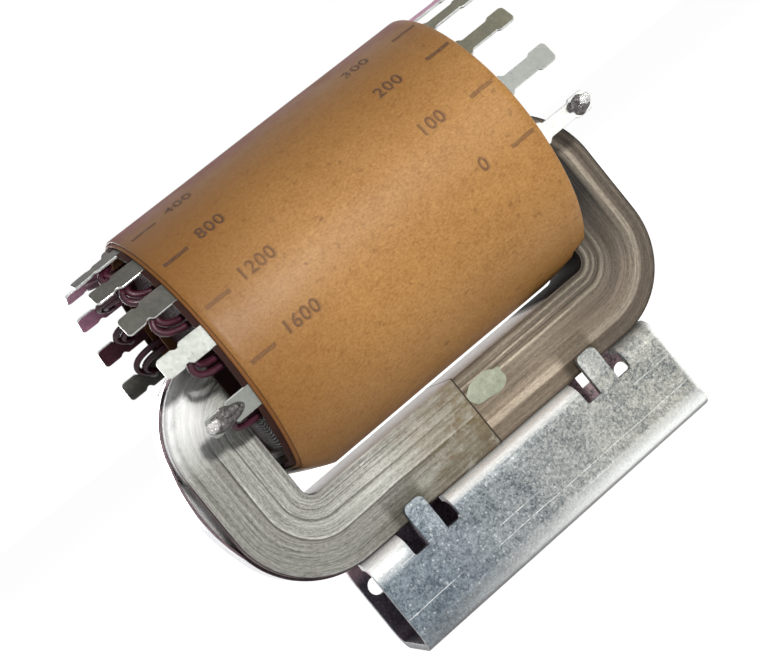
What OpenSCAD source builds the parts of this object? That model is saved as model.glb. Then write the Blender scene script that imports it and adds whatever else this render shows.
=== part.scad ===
// Audio matching transformer: cut core in two halves, round paper-wrapped coil on the upper
// leg, flat solder tags at both coil ends, folded steel channel clipped to the lower leg.
// X runs along the legs, the numbered face looks along -Y, Z is up and Z = 0 is the foot.

/* [Core] */
// Stack of wound strip in each leg
leg_build = 10; // [8:0.5:12]
// Width of the strip, from the front face to the back face
strip_w = 12.5; // [11:0.5:15]
// Length of the window, along the legs
window_l = 45.8; // [42:0.2:52]
// Height of the window, between the legs
window_h = 12.4; // [11.4:0.1:13.4]
// Inside corner radius of the wound strip
corner_r = 1.5; // [1:0.25:2.5]
// Paper shim in each of the two joints
shim_t = 0.2; // [0.1:0.05:0.4]
// Grooves between groups of turns on each face
turn_grooves = 7; // [4:1:9]
// Width of such a groove
groove_w = 0.16; // [0.1:0.02:0.3]
// Depth of such a groove
groove_d = 0.08; // [0.05:0.01:0.15]
// Width of the outer turns that stand back on the front of the right half
set_back_w = 2.1; // [1.2:0.3:3]
// How far the outermost of them stand back
set_back_d = 0.36; // [0.15:0.03:0.45]

/* [Band] */
// Width of the steel band round the core
band_w = 6.3; // [5:0.1:6.6]
// Thickness of the band
band_t = 0.35; // [0.25:0.05:0.5]
// How far the band bows off the core at its left side
band_bow = 0.9; // [0.4:0.1:1.1]
// Length of the pressed seal
seal_l = 6.6; // [5:0.2:7]
// Wall of the pressed seal
seal_t = 0.45; // [0.3:0.05:0.6]
// Length of the band that overlaps under the seal
band_lap = 9; // [7.5:0.5:9]

/* [Bracket] */
// Length of the folded channel
bracket_l = 47.5; // [46:0.5:56]
// How far the channel sits to the right of the joint
bracket_shift = 0.7; // [-1:0.1:1]
// Height of the channel, from its foot to the core
bracket_h = 13.5; // [11:0.5:18]
// Sheet thickness
sheet_t = 1; // [0.7:0.1:1.2]
// Inside radius of the folds
fold_r = 1.6; // [1.2:0.1:2]
// Width of each finger
finger_w = 3; // [2.4:0.1:4]
// Distance between the two fingers of one wall
finger_pitch = 28.8; // [24:0.4:32]
// How far the fingers reach over the core
finger_reach = 2; // [1.2:0.1:3]
// Width of the slits beside a finger
slit_w = 2.2; // [1.6:0.1:3]
// How far the slits run past the fold
slit_over = 0.8; // [0.4:0.1:1.5]
// Bore of the two holes in the back wall
hole_d = 2.4; // [2:0.1:2.6]
// Distance of these holes from the ends of the channel
hole_inset = 2; // [1.8:0.1:6]
// Height of these holes above the foot
hole_z = 8.5; // [5.5:0.1:8.8]

/* [Coil] */
// Length of the former
former_l = 45.2; // [40:0.2:45.4]
// Wall of the former
former_t = 0.8; // [0.6:0.1:1.2]
// Height of the coil's axis above the middle of the upper leg
coil_rise = 2.6; // [2:0.1:3]
// Gap between the outer wrap and the lower leg
coil_gap = 0.8; // [0.3:0.1:1]
// Depth of the primary winding over the former
primary_build = 4.8; // [4:0.2:5.4]
// Insulation between the windings
barrier_t = 0.8; // [0.5:0.1:1]
// Bare margin at both ends of the windings
margin = 2.1; // [1.6:0.1:3]
// Insulation over the secondary winding
cover_t = 0.9; // [0.6:0.1:1.2]
// Pressboard layer that holds the tags
tag_layer_t = 0.5; // [0.45:0.05:0.8]
// Paper sleeve over the tags
sleeve_t = 0.35; // [0.25:0.05:0.5]
// Printed outer wrap
label_t = 0.35; // [0.25:0.05:0.5]
// How far the sleeve shows past the outer wrap at the left end
sleeve_show = 1.2; // [0.6:0.1:2]
// How far the wraps stand past the former at the right end
wrap_over = 1.7; // [1.2:0.1:2.2]
// How far the window side of the coil is drawn in at its left end
draw_left = 3.2; // [2.4:0.1:3.6]
// How far the window side of the coil is drawn in at its right end
draw_right = 1.3; // [0.8:0.1:2]
// Length over which it is drawn in
draw_l = 6.2; // [5:0.2:8]

/* [Tags] */
// Width of a tag where it leaves the coil
tag_w = 3; // [2.4:0.1:3.4]
// Thickness of a tag
tag_t = 0.35; // [0.25:0.05:0.4]
// Width of the waist
tag_waist = 2.1; // [1.5:0.1:2.3]
// Width of the head
head_w = 2.7; // [2.4:0.1:3.2]
// Length of the head
head_l = 2.4; // [1.8:0.1:3]
// Length of the slope between waist and head
head_slope = 0.4; // [0.2:0.1:0.8]
// Length of a tag held inside the coil
tag_hold = 4.5; // [3:0.5:8]
// Reach of the left tags past the sleeve
reach_left = 6.1; // [5.5:0.1:9]
// Reach of the right tags past the sleeve
reach_right = 7.8; // [6:0.1:9]
// Length of wide root that shows on the left tags
root_left = 2.5; // [1.5:0.1:2.8]
// Length of wide root that shows on the right tags
root_right = 0.6; // [0.3:0.1:2]
// Diameter of a sleeved lead
lead_d = 0.9; // [0.6:0.1:1.2]
// How far a lead bows out past the former at the left end
bow_left = 4; // [2.5:0.25:4.5]
// How far a lead bows out past the former at the right end, inside the wraps
bow_right = 2; // [1.75:0.25:2.25]
// Depth of the leads below the surface of the secondary
lead_inset = 0.7; // [0.4:0.1:1]
// Diameter of a drop of solder
drop_d = 2.6; // [2:0.1:2.7]
// Height of a drop of solder
drop_h = 0.7; // [0.4:0.1:0.9]

/* [Hidden] */
LEFT_ANGLES = [-19, 8, 30, 50, 70, 109, 130, 150, 168];
RIGHT_ANGLES = [-12, 11, 34, 56, 72];
$fn = 96;

// Clearances: slide is a running fit of flat faces, press keeps wound layers apart
slide = 0.25;
press = 0.03;
cut = 0.01;      // overlap that lets a cutting tool pass a face

// Core
core_r = corner_r + leg_build;
core_x = window_l / 2 + leg_build;
core_z = bracket_h;
core_h = window_h + 2 * leg_build;
upper_leg_z = core_z + leg_build + window_h;
face_y = strip_w / 2;
set_back_steps = 3;

// Band: the bow's radius and half its height, and the seal's half width over the band's edges
bow_r = 0.68 * core_h;
bow_half = 0.31 * core_h;
seal_fit = 0.1;
seal_y = band_w / 2 + seal_fit + seal_t;

// Channel: its lips leave room for the seal
fold_out = fold_r + sheet_t;
wall_y = face_y + 0.05;
channel_x0 = bracket_shift - bracket_l / 2;
channel_x1 = bracket_shift + bracket_l / 2;
lip_gap = 2 * seal_y + 2 * slide;
slit_z = bracket_h - fold_out - slit_over;
tip_r = 0.9;

// Coil: each layer's outer radius, from the wrap inwards
coil_z = upper_leg_z + leg_build / 2 + coil_rise;
label_r = leg_build / 2 + window_h + coil_rise - coil_gap;
sleeve_r = label_r - label_t - press;
layer_r = sleeve_r - sleeve_t - press;
tag_r = layer_r - tag_layer_t;
cover_r = tag_r - press;
wound_r = cover_r - cover_t - press;
former_x = former_l / 2;
wound_x = former_x - margin;
former_in_y = face_y + slide;
former_in_z0 = upper_leg_z - slide;
former_in_z1 = upper_leg_z + leg_build + band_t + slide;
sleeve_x0 = -former_x;
sleeve_x1 = former_x + wrap_over;
label_x0 = sleeve_x0 + sleeve_show;

// Primary block: deeper above the leg than beside and below it
above = 1.4;
corner_more = 2.4;
pri_y = former_in_y + former_t + primary_build;
pri_z0 = former_in_z0 - former_t - primary_build;
pri_z1 = former_in_z1 + former_t + primary_build * above;
pri_r = primary_build + corner_more;

// Pockets for the tags, and the corner of the core that the former and the wraps clear
tag_fit = 0.05;
corner_clear = window_l / 2 - corner_r - slide;
end_clear = window_l / 2 - slide - 0.1;

module rounded(x0, x1, z0, z1, r) {
    translate([x0 + r, z0]) square([x1 - x0 - 2 * r, z1 - z0]);
    translate([x0, z0 + r]) square([x1 - x0, z1 - z0 - 2 * r]);
    for (x = [x0 + r, x1 - r], z = [z0 + r, z1 - r])
        translate([x, z]) circle(r);
}

// Stands a drawing in x and z up and gives it a depth along Y, centred
module slab(depth) {
    rotate([90, 0, 0]) linear_extrude(height = depth, center = true) children();
}

// Turns a drawing in y and z into a bar along X from x0 to x1
module bar_x(x0, x1) {
    translate([x0, 0, 0]) rotate([90, 0, 90]) linear_extrude(height = x1 - x0) children();
}

// ---- Core ----

// The outline of the wound strip, depth turns in from the outside
module core_outline(depth) {
    rounded(-core_x + depth, core_x - depth, core_z + depth, core_z + core_h - depth,
        core_r - depth);
}

module core_ring(depth0, depth1) {
    difference() {
        core_outline(depth0);
        core_outline(depth1);
    }
}

module core_half(side) {
    pitch = leg_build / (turn_grooves + 1);
    x0 = side < 0 ? -core_x - 1 : shim_t / 2;
    difference() {
        intersection() {
            slab(strip_w) core_ring(0, leg_build);
            translate([x0, -strip_w, 0])
                cube([core_x + 1 - shim_t / 2, 2 * strip_w, core_z + core_h + 1]);
        }
        for (i = [1:turn_grooves], face = [-1, 1])
            translate([0, face * face_y, 0])
                slab(2 * groove_d) core_ring(i * pitch - groove_w, i * pitch);
        if (side > 0) turns_set_back();
    }
}

// Takes the outer turns back in steps, the outermost the furthest
module turns_set_back() {
    step_w = set_back_w / set_back_steps;
    for (i = [0:set_back_steps - 1])
        translate([0, -face_y, 0])
            slab(2 * set_back_d * (1 - i / set_back_steps))
                core_ring(i * step_w - (i == 0 ? cut : 0), (i + 1) * step_w);
}

module shim(z0) {
    translate([-shim_t / 2, -face_y, z0]) cube([shim_t, strip_w, leg_build]);
}

// ---- Band and seal ----

// The band's outline, which leaves the core in a shallow bow at the left
module band_outline(grow) {
    rounded(-core_x - grow, core_x + grow, core_z - grow, core_z + core_h + grow,
        core_r + grow);
    translate([-core_x - band_bow, core_z + core_h / 2]) intersection() {
        translate([bow_r, 0]) circle(bow_r + grow);
        translate([-leg_build / 2, -bow_half]) square([leg_build, 2 * bow_half]);
    }
}

// The band laps under the lower leg, where the seal holds it
module core_band() color("dimgray") {
    slab(band_w) difference() {
        band_outline(band_t);
        band_outline(0);
    }
    translate([bracket_shift - band_lap / 2, -band_w / 2, core_z - 2 * band_t])
        cube([band_lap, band_w, 2 * band_t]);
}

// A sheet clip over the doubled band, with two pressed nicks in each edge
module band_seal() color("silver") {
    under = 2 * band_t + 0.02;
    clip_h = under + seal_t;
    nick = 0.8;
    translate([bracket_shift, 0, core_z]) difference() {
        translate([-seal_l / 2, -seal_y, -clip_h]) cube([seal_l, 2 * seal_y, clip_h]);
        translate([-seal_l, -seal_y + seal_t, -under])
            cube([2 * seal_l, 2 * (seal_y - seal_t), under + cut]);
        for (side = [-1, 1], x = [-seal_l / 5, seal_l / 5])
            translate([x, side * (seal_y + nick * 0.45), -clip_h - cut])
                cylinder(r = nick, h = clip_h + 2 * cut);
    }
}

// ---- Folded channel ----

// Section of the channel: foot, two walls and two lips folded in under the core
module channel_section() {
    difference() {
        rounded(-wall_y - sheet_t, wall_y + sheet_t, 0, bracket_h, fold_out);
        rounded(-wall_y, wall_y, sheet_t, bracket_h - sheet_t, fold_r);
        translate([-lip_gap / 2, bracket_h - 2 * sheet_t]) square([lip_gap, 3 * sheet_t]);
    }
}

// A finger stays flat in the wall where the lip beside it is folded in
module finger(x) {
    top = bracket_h + finger_reach;
    translate([x, 0, 0]) {
        translate([-finger_w / 2, slit_z - cut]) square([finger_w, top - tip_r - slit_z + cut]);
        translate([-finger_w / 2 + tip_r, slit_z]) square([finger_w - 2 * tip_r, top - slit_z]);
        for (s = [-1, 1]) translate([s * (finger_w / 2 - tip_r), top - tip_r]) circle(tip_r);
    }
}

// Window cut through wall and lip round one finger, with rounded bottom corners
module finger_window(x) {
    r = 0.4;
    w = finger_w / 2 + slit_w;
    translate([x - w, slit_z + r]) square([2 * w, bracket_h]);
    translate([x - w + r, slit_z]) square([2 * w - 2 * r, bracket_h]);
    for (s = [-1, 1]) translate([x + s * (w - r), slit_z + r]) circle(r);
}

module mounting_bracket() color("lightgray") {
    xs = [bracket_shift - finger_pitch / 2, bracket_shift + finger_pitch / 2];
    difference() {
        bar_x(channel_x0, channel_x1) channel_section();
        for (x = xs) slab(4 * wall_y) finger_window(x);
        for (s = [-1, 1])
            translate([bracket_shift + s * (bracket_l / 2 - hole_inset), wall_y - sheet_t, hole_z])
                rotate([-90, 0, 0]) cylinder(d = hole_d, h = 3 * sheet_t);
    }
    for (x = xs, side = [-1, 1])
        translate([0, side * (wall_y + sheet_t / 2), 0]) slab(sheet_t) finger(x);
}

// ---- Coil ----

module scale_x(side) {
    if (side < 0) mirror([1, 0, 0]) children();
    else children();
}

module former_outline(grow) {
    rounded(-former_in_y - grow, former_in_y + grow, former_in_z0 - grow,
        former_in_z1 + grow, 0.3 + grow);
}

module primary_outline(grow) {
    rounded(-pri_y - grow, pri_y + grow, pri_z0 - grow, pri_z1 + grow, pri_r + grow);
}

// The former's window side is notched at both ends to clear the core's inside corners
module coil_former() color("saddlebrown") {
    difference() {
        bar_x(-former_x, former_x) difference() {
            former_outline(former_t);
            former_outline(0);
        }
        for (s = [-1, 1]) scale_x(s)
            translate([corner_clear, -former_in_y, former_in_z0 - 2 * former_t])
                cube([leg_build, 2 * former_in_y, 3 * former_t]);
    }
}

module primary_winding() color("sienna") {
    bar_x(-wound_x, wound_x) difference() {
        primary_outline(0);
        former_outline(former_t + press);
    }
}

module winding_barrier() color("tan") {
    bar_x(-former_x + margin / 2, former_x - margin / 2) difference() {
        primary_outline(barrier_t);
        primary_outline(press);
    }
}

// Takes off what the drawn-in side of the coil leaves no room for, down to depth less gap
module draw_in(gap) {
    past = 4;
    low = label_r + 2;
    for (s = [-1, 1]) {
        end = s < 0 ? sleeve_x0 : sleeve_x1;
        deep = s < 0 ? draw_left : draw_right;
        slab(3 * label_r) translate([0, coil_z]) polygon([
            [end - s * draw_l, -label_r + gap],
            [end + s * past, -label_r + gap + deep * (1 + past / draw_l)],
            [end + s * past, -low],
            [end - s * draw_l, -low]]);
    }
}

// Solid round bar of the coil's form at radius r
module drawn_bar(x0, x1, r) {
    difference() {
        translate([x0, 0, coil_z]) rotate([0, 90, 0]) cylinder(r = r, h = x1 - x0);
        draw_in(label_r - r);
    }
}

module secondary_winding() color("chocolate") {
    difference() {
        drawn_bar(-wound_x, wound_x, wound_r);
        bar_x(-former_x, former_x) primary_outline(barrier_t + press);
    }
}

module winding_cover() color("peru") {
    end = former_x - margin / 3;
    difference() {
        drawn_bar(-end, end, cover_r);
        drawn_bar(-former_x, former_x, wound_r + press);
    }
}

module tag_layer() color("burlywood") {
    hold_left = -former_x + tag_hold;
    hold_right = former_x - tag_hold;
    difference() {
        drawn_bar(-former_x, former_x, layer_r);
        drawn_bar(-former_x - 1, former_x + 1, tag_r);
        for (a = LEFT_ANGLES) tag_slot(a, -former_x - 1, hold_left);
        for (a = RIGHT_ANGLES) tag_slot(a, hold_right, former_x + 1);
    }
}

module at_angle(a) {
    translate([0, 0, coil_z]) rotate([90 - a, 0, 0]) children();
}

module tag_slot(a, x0, x1) {
    w = tag_w + 2 * tag_fit;
    at_angle(a) translate([x0, -w / 2, tag_r - 1]) cube([x1 - x0, w, 3]);
}

// Paper tube that is drawn in on the window side and cut back where the core end stands
module paper_tube(x0, x1, r_out, r_in) {
    difference() {
        drawn_bar(x0, x1, r_out);
        drawn_bar(x0 - 1, x1 + 1, r_in);
        translate([end_clear, -former_in_y - 0.3, coil_z - 2 * label_r])
            cube([leg_build, 2 * former_in_y + 0.6, 2 * label_r]);
    }
}

module inner_sleeve() color("tan") {
    paper_tube(sleeve_x0, sleeve_x1, sleeve_r, sleeve_r - sleeve_t);
}

module label_wrap() color("peru") {
    paper_tube(label_x0, sleeve_x1, label_r, label_r - label_t);
}

// ---- Tags ----

// One waisted tag, drawn from its held end at x = 0 to its head
module tag_outline(root, reach) {
    total = tag_hold + reach;
    r = 0.5;
    shoulder = (tag_w - tag_waist) / 2;
    root_end = tag_hold + root;
    head_start = total - head_l;
    slope_start = head_start - head_slope;
    polygon([[0, -tag_w / 2], [root_end, -tag_w / 2], [root_end + shoulder, -tag_waist / 2],
        [slope_start, -tag_waist / 2], [head_start, -head_w / 2], [total - r, -head_w / 2],
        [total - r, head_w / 2], [head_start, head_w / 2], [slope_start, tag_waist / 2],
        [root_end + shoulder, tag_waist / 2], [root_end, tag_w / 2], [0, tag_w / 2]]);
    translate([head_start, r - head_w / 2]) square([head_l, head_w - 2 * r]);
    for (s = [-1, 1]) translate([total - r, s * (head_w / 2 - r)]) circle(r);
}

module left_tag(i) color("silver") {
    at_angle(LEFT_ANGLES[i]) translate([sleeve_x0 + tag_hold, 0, tag_r])
        mirror([1, 0, 0]) linear_extrude(height = tag_t) tag_outline(root_left, reach_left);
}

module right_tag(i) color("silver") {
    at_angle(RIGHT_ANGLES[i]) translate([sleeve_x1 - wrap_over - tag_hold, 0, tag_r])
        linear_extrude(height = tag_t)
            tag_outline(root_right + wrap_over, reach_right + wrap_over);
}

// ---- Leads and solder ----

// Point of a curve drawn by control points, by repeated halfway steps
function blend(p, t) = len(p) == 1 ? p[0]
    : blend([for (i = [0:len(p) - 2]) p[i] * (1 - t) + p[i + 1] * t], t);
function polar(x, r, a) = [x, -r * cos(a), coil_z + r * sin(a)];
function unit(v) = v / norm(v);

// A lead leaves the end of the secondary, bows out and comes up under its tag
function lead_points(side, a) =
    let (face = side * (wound_x + 2 * press),
        tip = side * former_x, out = side * (side < 0 ? bow_left : bow_right),
        r0 = wound_r - lead_d / 2 - lead_inset, r1 = tag_r - lead_d / 2 - press)
    [polar(face, r0, a - 12), polar(tip + out * 0.3, r0, a - 12),
        polar(tip + out, (r0 + r1) / 2, a - 12), polar(tip + out, r1, a - 4),
        polar(tip + out * 0.4, r1, a)];

module tube(path, d) {
    sides = 8;
    n = len(path);
    ring = [for (k = [0:n - 1])
        let (t = unit(path[min(k + 1, n - 1)] - path[max(k - 1, 0)]),
            u = unit(cross(t, [0.31, 0.77, 0.55])), v = cross(t, u))
        for (s = [0:sides - 1])
            path[k] + d / 2 * (cos(360 * s / sides) * u + sin(360 * s / sides) * v)];
    walls = [for (k = [0:n - 2], s = [0:sides - 1]) let (q = (s + 1) % sides)
        for (f = [[k * sides + s, (k + 1) * sides + s, (k + 1) * sides + q],
                  [k * sides + s, (k + 1) * sides + q, k * sides + q]]) f];
    caps = [[for (s = [0:sides - 1]) s], [for (s = [sides - 1:-1:0]) (n - 1) * sides + s]];
    polyhedron(ring, concat(walls, caps), convexity = 4);
}

module leads(side, angles) color("indigo") {
    steps = 12;
    for (a = angles)
        tube([for (k = [0:steps]) blend(lead_points(side, a), k / steps)], lead_d);
}

// A flat drop of solder on the outer face of a head: a cap of a larger ball
module solder_drop(x) {
    ball = (drop_d * drop_d / 4 + drop_h * drop_h) / (2 * drop_h);
    translate([x, 0, tag_r + tag_t]) intersection() {
        translate([0, 0, drop_h - ball]) sphere(ball);
        translate([-ball, -ball, 0]) cube(2 * ball);
    }
}

module solder_left() color("gainsboro") {
    at_angle(LEFT_ANGLES[0]) solder_drop(sleeve_x0 - reach_left + head_l / 2 + 0.2);
}

module solder_right() color("gainsboro") {
    at_angle(RIGHT_ANGLES[0]) solder_drop(sleeve_x1 + reach_right - head_l / 2 - 0.2);
}

color("darkgray") core_half(-1);  // core_half_left
color("gray") core_half(1);  // core_half_right
color("wheat") shim(core_z);  // gap_shim_lower
color("wheat") shim(upper_leg_z);  // gap_shim_upper
core_band();
band_seal();
mounting_bracket();
coil_former();
primary_winding();
winding_barrier();
secondary_winding();
winding_cover();
tag_layer();
inner_sleeve();
label_wrap();
left_tag(0);  // tag_left_1
left_tag(1);  // tag_left_2
left_tag(2);  // tag_left_3
left_tag(3);  // tag_left_4
left_tag(4);  // tag_left_5
left_tag(5);  // tag_left_6
left_tag(6);  // tag_left_7
left_tag(7);  // tag_left_8
left_tag(8);  // tag_left_9
right_tag(0);  // tag_right_1
right_tag(1);  // tag_right_2
right_tag(2);  // tag_right_3
right_tag(3);  // tag_right_4
right_tag(4);  // tag_right_5
leads(-1, LEFT_ANGLES);  // lead_wires_left
leads(1, RIGHT_ANGLES);  // lead_wires_right
solder_left();
solder_right();
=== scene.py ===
"""Looks of a cut-core matching transformer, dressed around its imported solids.

All lengths are metres in the part's own frame: X runs along the core's legs, Z stands up from
the bracket's foot, and the numbered side of the coil looks along -Y.
"""

from __future__ import annotations

import logging
import math
from dataclasses import dataclass, field, replace
from enum import Enum
from typing import Any, Sequence

import bmesh
import bpy
import numpy as np
from mathutils import Matrix, Vector


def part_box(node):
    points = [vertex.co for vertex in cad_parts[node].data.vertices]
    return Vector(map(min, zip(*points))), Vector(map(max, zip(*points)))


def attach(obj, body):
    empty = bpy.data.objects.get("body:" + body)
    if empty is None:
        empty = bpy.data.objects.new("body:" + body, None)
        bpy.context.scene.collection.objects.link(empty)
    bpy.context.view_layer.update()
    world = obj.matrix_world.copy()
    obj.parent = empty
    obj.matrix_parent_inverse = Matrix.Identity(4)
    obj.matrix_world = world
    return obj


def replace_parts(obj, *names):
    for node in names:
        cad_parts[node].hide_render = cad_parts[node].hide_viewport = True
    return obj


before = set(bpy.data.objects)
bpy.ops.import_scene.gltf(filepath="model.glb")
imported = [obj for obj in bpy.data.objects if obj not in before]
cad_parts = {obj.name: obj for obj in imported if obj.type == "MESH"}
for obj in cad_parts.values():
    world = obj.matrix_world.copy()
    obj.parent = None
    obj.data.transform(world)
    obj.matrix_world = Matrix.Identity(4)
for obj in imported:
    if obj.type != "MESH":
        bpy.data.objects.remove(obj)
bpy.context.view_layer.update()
MM = 0.001
BODY = "root"
TAG_DEPTH = 0.5 * MM
LABEL_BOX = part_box("label_wrap")
COIL_RADIUS = (LABEL_BOX[1].y - LABEL_BOX[0].y) / 2
COIL_AXIS_Z = LABEL_BOX[1].z - COIL_RADIUS
TAG_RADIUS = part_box("tag_layer")[1].y - TAG_DEPTH
LOG = logging.getLogger("transformer")

Array = np.ndarray
Material = bpy.types.Material
Piece = bpy.types.Object
Socket = bpy.types.NodeSocket
Rgb = tuple[float, float, float]
Spot = tuple[float, float, float]
Span = tuple[float, float]
Shell = tuple[np.ndarray, np.ndarray, list[list[int]]]


# ---------------------------------------------------------------------------------------------
# Meshes worked out as whole arrays
# ---------------------------------------------------------------------------------------------


def ring_quads(rows: int, cols: int, close_rows: bool = False) -> Array:
    """Corner numbers of the quads between rows of points, each row a closed ring.

    Args:
        rows: Number of rings.
        cols: Points round each ring.
        close_rows: Whether the last ring joins the first.

    Returns:
        An array of shape (quads, 4). Faces look along (row direction) x (column direction).
    """
    r = np.arange(rows if close_rows else rows - 1)
    r0, c0 = np.meshgrid(r, np.arange(cols), indexing="ij")
    r1, c1 = (r0 + 1) % rows, (c0 + 1) % cols
    corners = [r0 * cols + c0, r1 * cols + c0, r1 * cols + c1, r0 * cols + c1]
    return np.stack(corners, axis=-1).reshape(-1, 4)


def end_caps(rows: int, cols: int) -> list[list[int]]:
    """The faces that close the first and the last ring."""
    return [list(range(cols)), list(range(rows * cols - 1, (rows - 1) * cols - 1, -1))]


def linked(name: str, data: bpy.types.ID) -> Piece:
    """Makes an object of some data and links it to the scene."""
    made = bpy.data.objects.new(name, data)
    bpy.context.scene.collection.objects.link(made)
    return made


def placed(name: str, mesh: bpy.types.Mesh, sharp_deg: float = 35.0) -> Piece:
    """Puts a mesh in the scene, smooth shaded but for edges that bend more than sharp_deg."""
    mesh.shade_smooth()
    mesh.set_sharp_from_angle(angle=math.radians(sharp_deg))
    mesh.update()
    return linked(name, mesh)


def make_piece(name: str, points: Array, quads: Array, caps: Sequence[Sequence[int]] = (),
               uv: Array | None = None, sharp_deg: float = 35.0, period: float = 0.0) -> Piece:
    """Makes a smooth shaded mesh object at the origin.

    Args:
        name: The piece's name.
        points: Vertex places, shape (n, 3), in metres.
        quads: Corner numbers, shape (m, 4).
        caps: Further faces with any number of corners.
        uv: One pair of numbers per vertex, stored as the UV map "surface".
        sharp_deg: Edges that bend more than this stay sharp.
        period: Length after which the second number of the UV map starts again, if it does.

    Returns:
        The new object, linked to the scene.
    """
    mesh = bpy.data.meshes.new(name)
    faces = quads.tolist() + [list(cap) for cap in caps]
    mesh.from_pydata(points.tolist(), [], faces)
    if uv is not None:
        corner = np.empty(len(mesh.loops), dtype=np.int32)
        mesh.loops.foreach_get("vertex_index", corner)
        spread = uv[corner]
        if period:
            across = spread[:4 * len(quads), 1].reshape(-1, 4)
            seam = np.ptp(across, axis=1) > period / 2
            across[seam] += period * (across[seam] < period / 2)
            spread[:4 * len(quads), 1] = across.ravel()
        layer = mesh.uv_layers.new(name="surface")
        layer.data.foreach_set("uv", spread.astype(np.float32).ravel())
    return placed(name, mesh, sharp_deg)


def face_outwards(piece: Piece) -> Piece:
    """Turns the faces of one or more closed shells outwards."""
    work = bmesh.new()
    work.from_mesh(piece.data)
    bmesh.ops.recalc_face_normals(work, faces=work.faces)
    work.to_mesh(piece.data)
    work.free()
    return piece


def joined(name: str, parts: Sequence[Piece]) -> Piece:
    """Joins several mesh objects that share one finish into a single piece."""
    work = bmesh.new()
    for part in parts:
        work.from_mesh(part.data)
    mesh = bpy.data.meshes.new(name)
    work.to_mesh(mesh)
    work.free()
    for part in parts:
        bpy.data.objects.remove(part)
    return placed(name, mesh)


def smooth_max(a: Array, b: Array, blend: Array | float) -> Array:
    """The larger of two arrays, with the corner between them rounded over the width blend."""
    near = np.clip(0.5 + 0.5 * (a - b) / blend, 0.0, 1.0)
    return b * (1 - near) + a * near + blend * near * (1 - near)


def smooth_step(x: Array, low: float, high: float) -> Array:
    """Rises from 0 at low to 1 at high with flat ends."""
    t = np.clip((x - low) / (high - low), 0.0, 1.0)
    return t * t * (3 - 2 * t)


def ripple(t: Array, seed: int, waves: int = 7) -> Array:
    """A gentle random curve of t, periodic in 2 pi: a sum of sines of falling height."""
    rng = np.random.default_rng(seed)
    total = np.zeros_like(t, dtype=float)
    for k in range(1, waves + 1):
        total += np.sin(k * t + rng.uniform(0, 2 * math.pi)) * rng.uniform(0.4, 1.0) / k
    return total


def lumps(points: Array, size: float, seed: int, waves: int = 9) -> Array:
    """Soft random bumps at the given points: sine waves in random directions, about size long."""
    rng = np.random.default_rng(seed)
    total = np.zeros(len(points))
    for _ in range(waves):
        direction = rng.normal(size=3)
        direction /= np.linalg.norm(direction)
        pace = 2 * math.pi / (size * rng.uniform(0.6, 1.5))
        total += np.sin(points @ direction * pace + rng.uniform(0, 2 * math.pi))
    return total / waves


def swept(path: Array, half_w: Array, half_h: Array, corner: float, side: Array, up: Array) -> Shell:
    """A flat bar along a path: at each station a rectangle with clipped corners.

    Args:
        path: Centre of the section at each station, shape (n, 3).
        half_w: Half the width at each station.
        half_h: Half the thickness at each station.
        corner: Size of the clipped corners.
        side: Direction of the width, one row per station.
        up: Direction of the thickness, one row per station.

    Returns:
        Points, quads and the two end faces.
    """
    c = np.minimum(corner, half_h * 0.9)
    w_in, h_in = half_w - c, half_h - c
    ring_w = np.stack([half_w, w_in, -w_in, -half_w, -half_w, -w_in, w_in, half_w], axis=1)
    ring_h = np.stack([h_in, half_h, half_h, h_in, -h_in, -half_h, -half_h, -h_in], axis=1)
    points = path[:, None, :] + ring_w[..., None] * side[:, None, :] + ring_h[..., None] * up[:, None, :]
    return points.reshape(-1, 3), ring_quads(len(path), 8), end_caps(len(path), 8)


def tube(path: Array, radius: float, sides: int = 14) -> Shell:
    """A round tube along a path, each ring square to the path there.

    Args:
        path: Points of the centreline, shape (n, 3).
        radius: Radius of the tube.
        sides: Points round each ring.

    Returns:
        Points, quads and the two end faces.
    """
    along = np.gradient(path, axis=0)
    along /= np.linalg.norm(along, axis=1, keepdims=True)
    first = np.cross(along, np.array([0.31, 0.77, 0.55]))
    first /= np.linalg.norm(first, axis=1, keepdims=True)
    second = np.cross(along, first)
    turn = np.linspace(0, 2 * math.pi, sides, endpoint=False)
    points = (path[:, None, :] + radius * (np.cos(turn)[None, :, None] * first[:, None, :]
                                           + np.sin(turn)[None, :, None] * second[:, None, :]))
    return points.reshape(-1, 3), ring_quads(len(path), sides), end_caps(len(path), sides)


def ball(centre: Array, radii: Array, axes: Array, rough: float, seed: int, name: str) -> Piece:
    """A lumpy drop: an ellipsoid whose surface is moved along its radius by soft bumps.

    Args:
        centre: Centre of the drop.
        radii: Its three half sizes.
        axes: Their directions, one per row.
        rough: Height of the bumps as a share of the radius.
        seed: Chooses the bumps.
        name: Name of the piece.

    Returns:
        The closed mesh object.
    """
    rows, cols = 22, 32
    lat = np.linspace(0, math.pi, rows + 2)[1:-1]
    lon = np.linspace(0, 2 * math.pi, cols, endpoint=False)
    la, lo = np.meshgrid(lat, lon, indexing="ij")
    unit = np.stack([np.cos(la), np.sin(la) * np.cos(lo), np.sin(la) * np.sin(lo)], -1).reshape(-1, 3)
    unit = np.vstack([unit, [[1, 0, 0], [-1, 0, 0]]])
    swell = 1 + rough * lumps(unit, 1.1, seed)
    points = centre + (unit * swell[:, None] * radii) @ axes
    top, end = rows * cols, (rows - 1) * cols
    caps = [[top, k, (k + 1) % cols] for k in range(cols)]
    caps += [[top + 1, end + (k + 1) % cols, end + k] for k in range(cols)]
    return face_outwards(make_piece(name, points, ring_quads(rows, cols), caps, sharp_deg=80))


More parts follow.
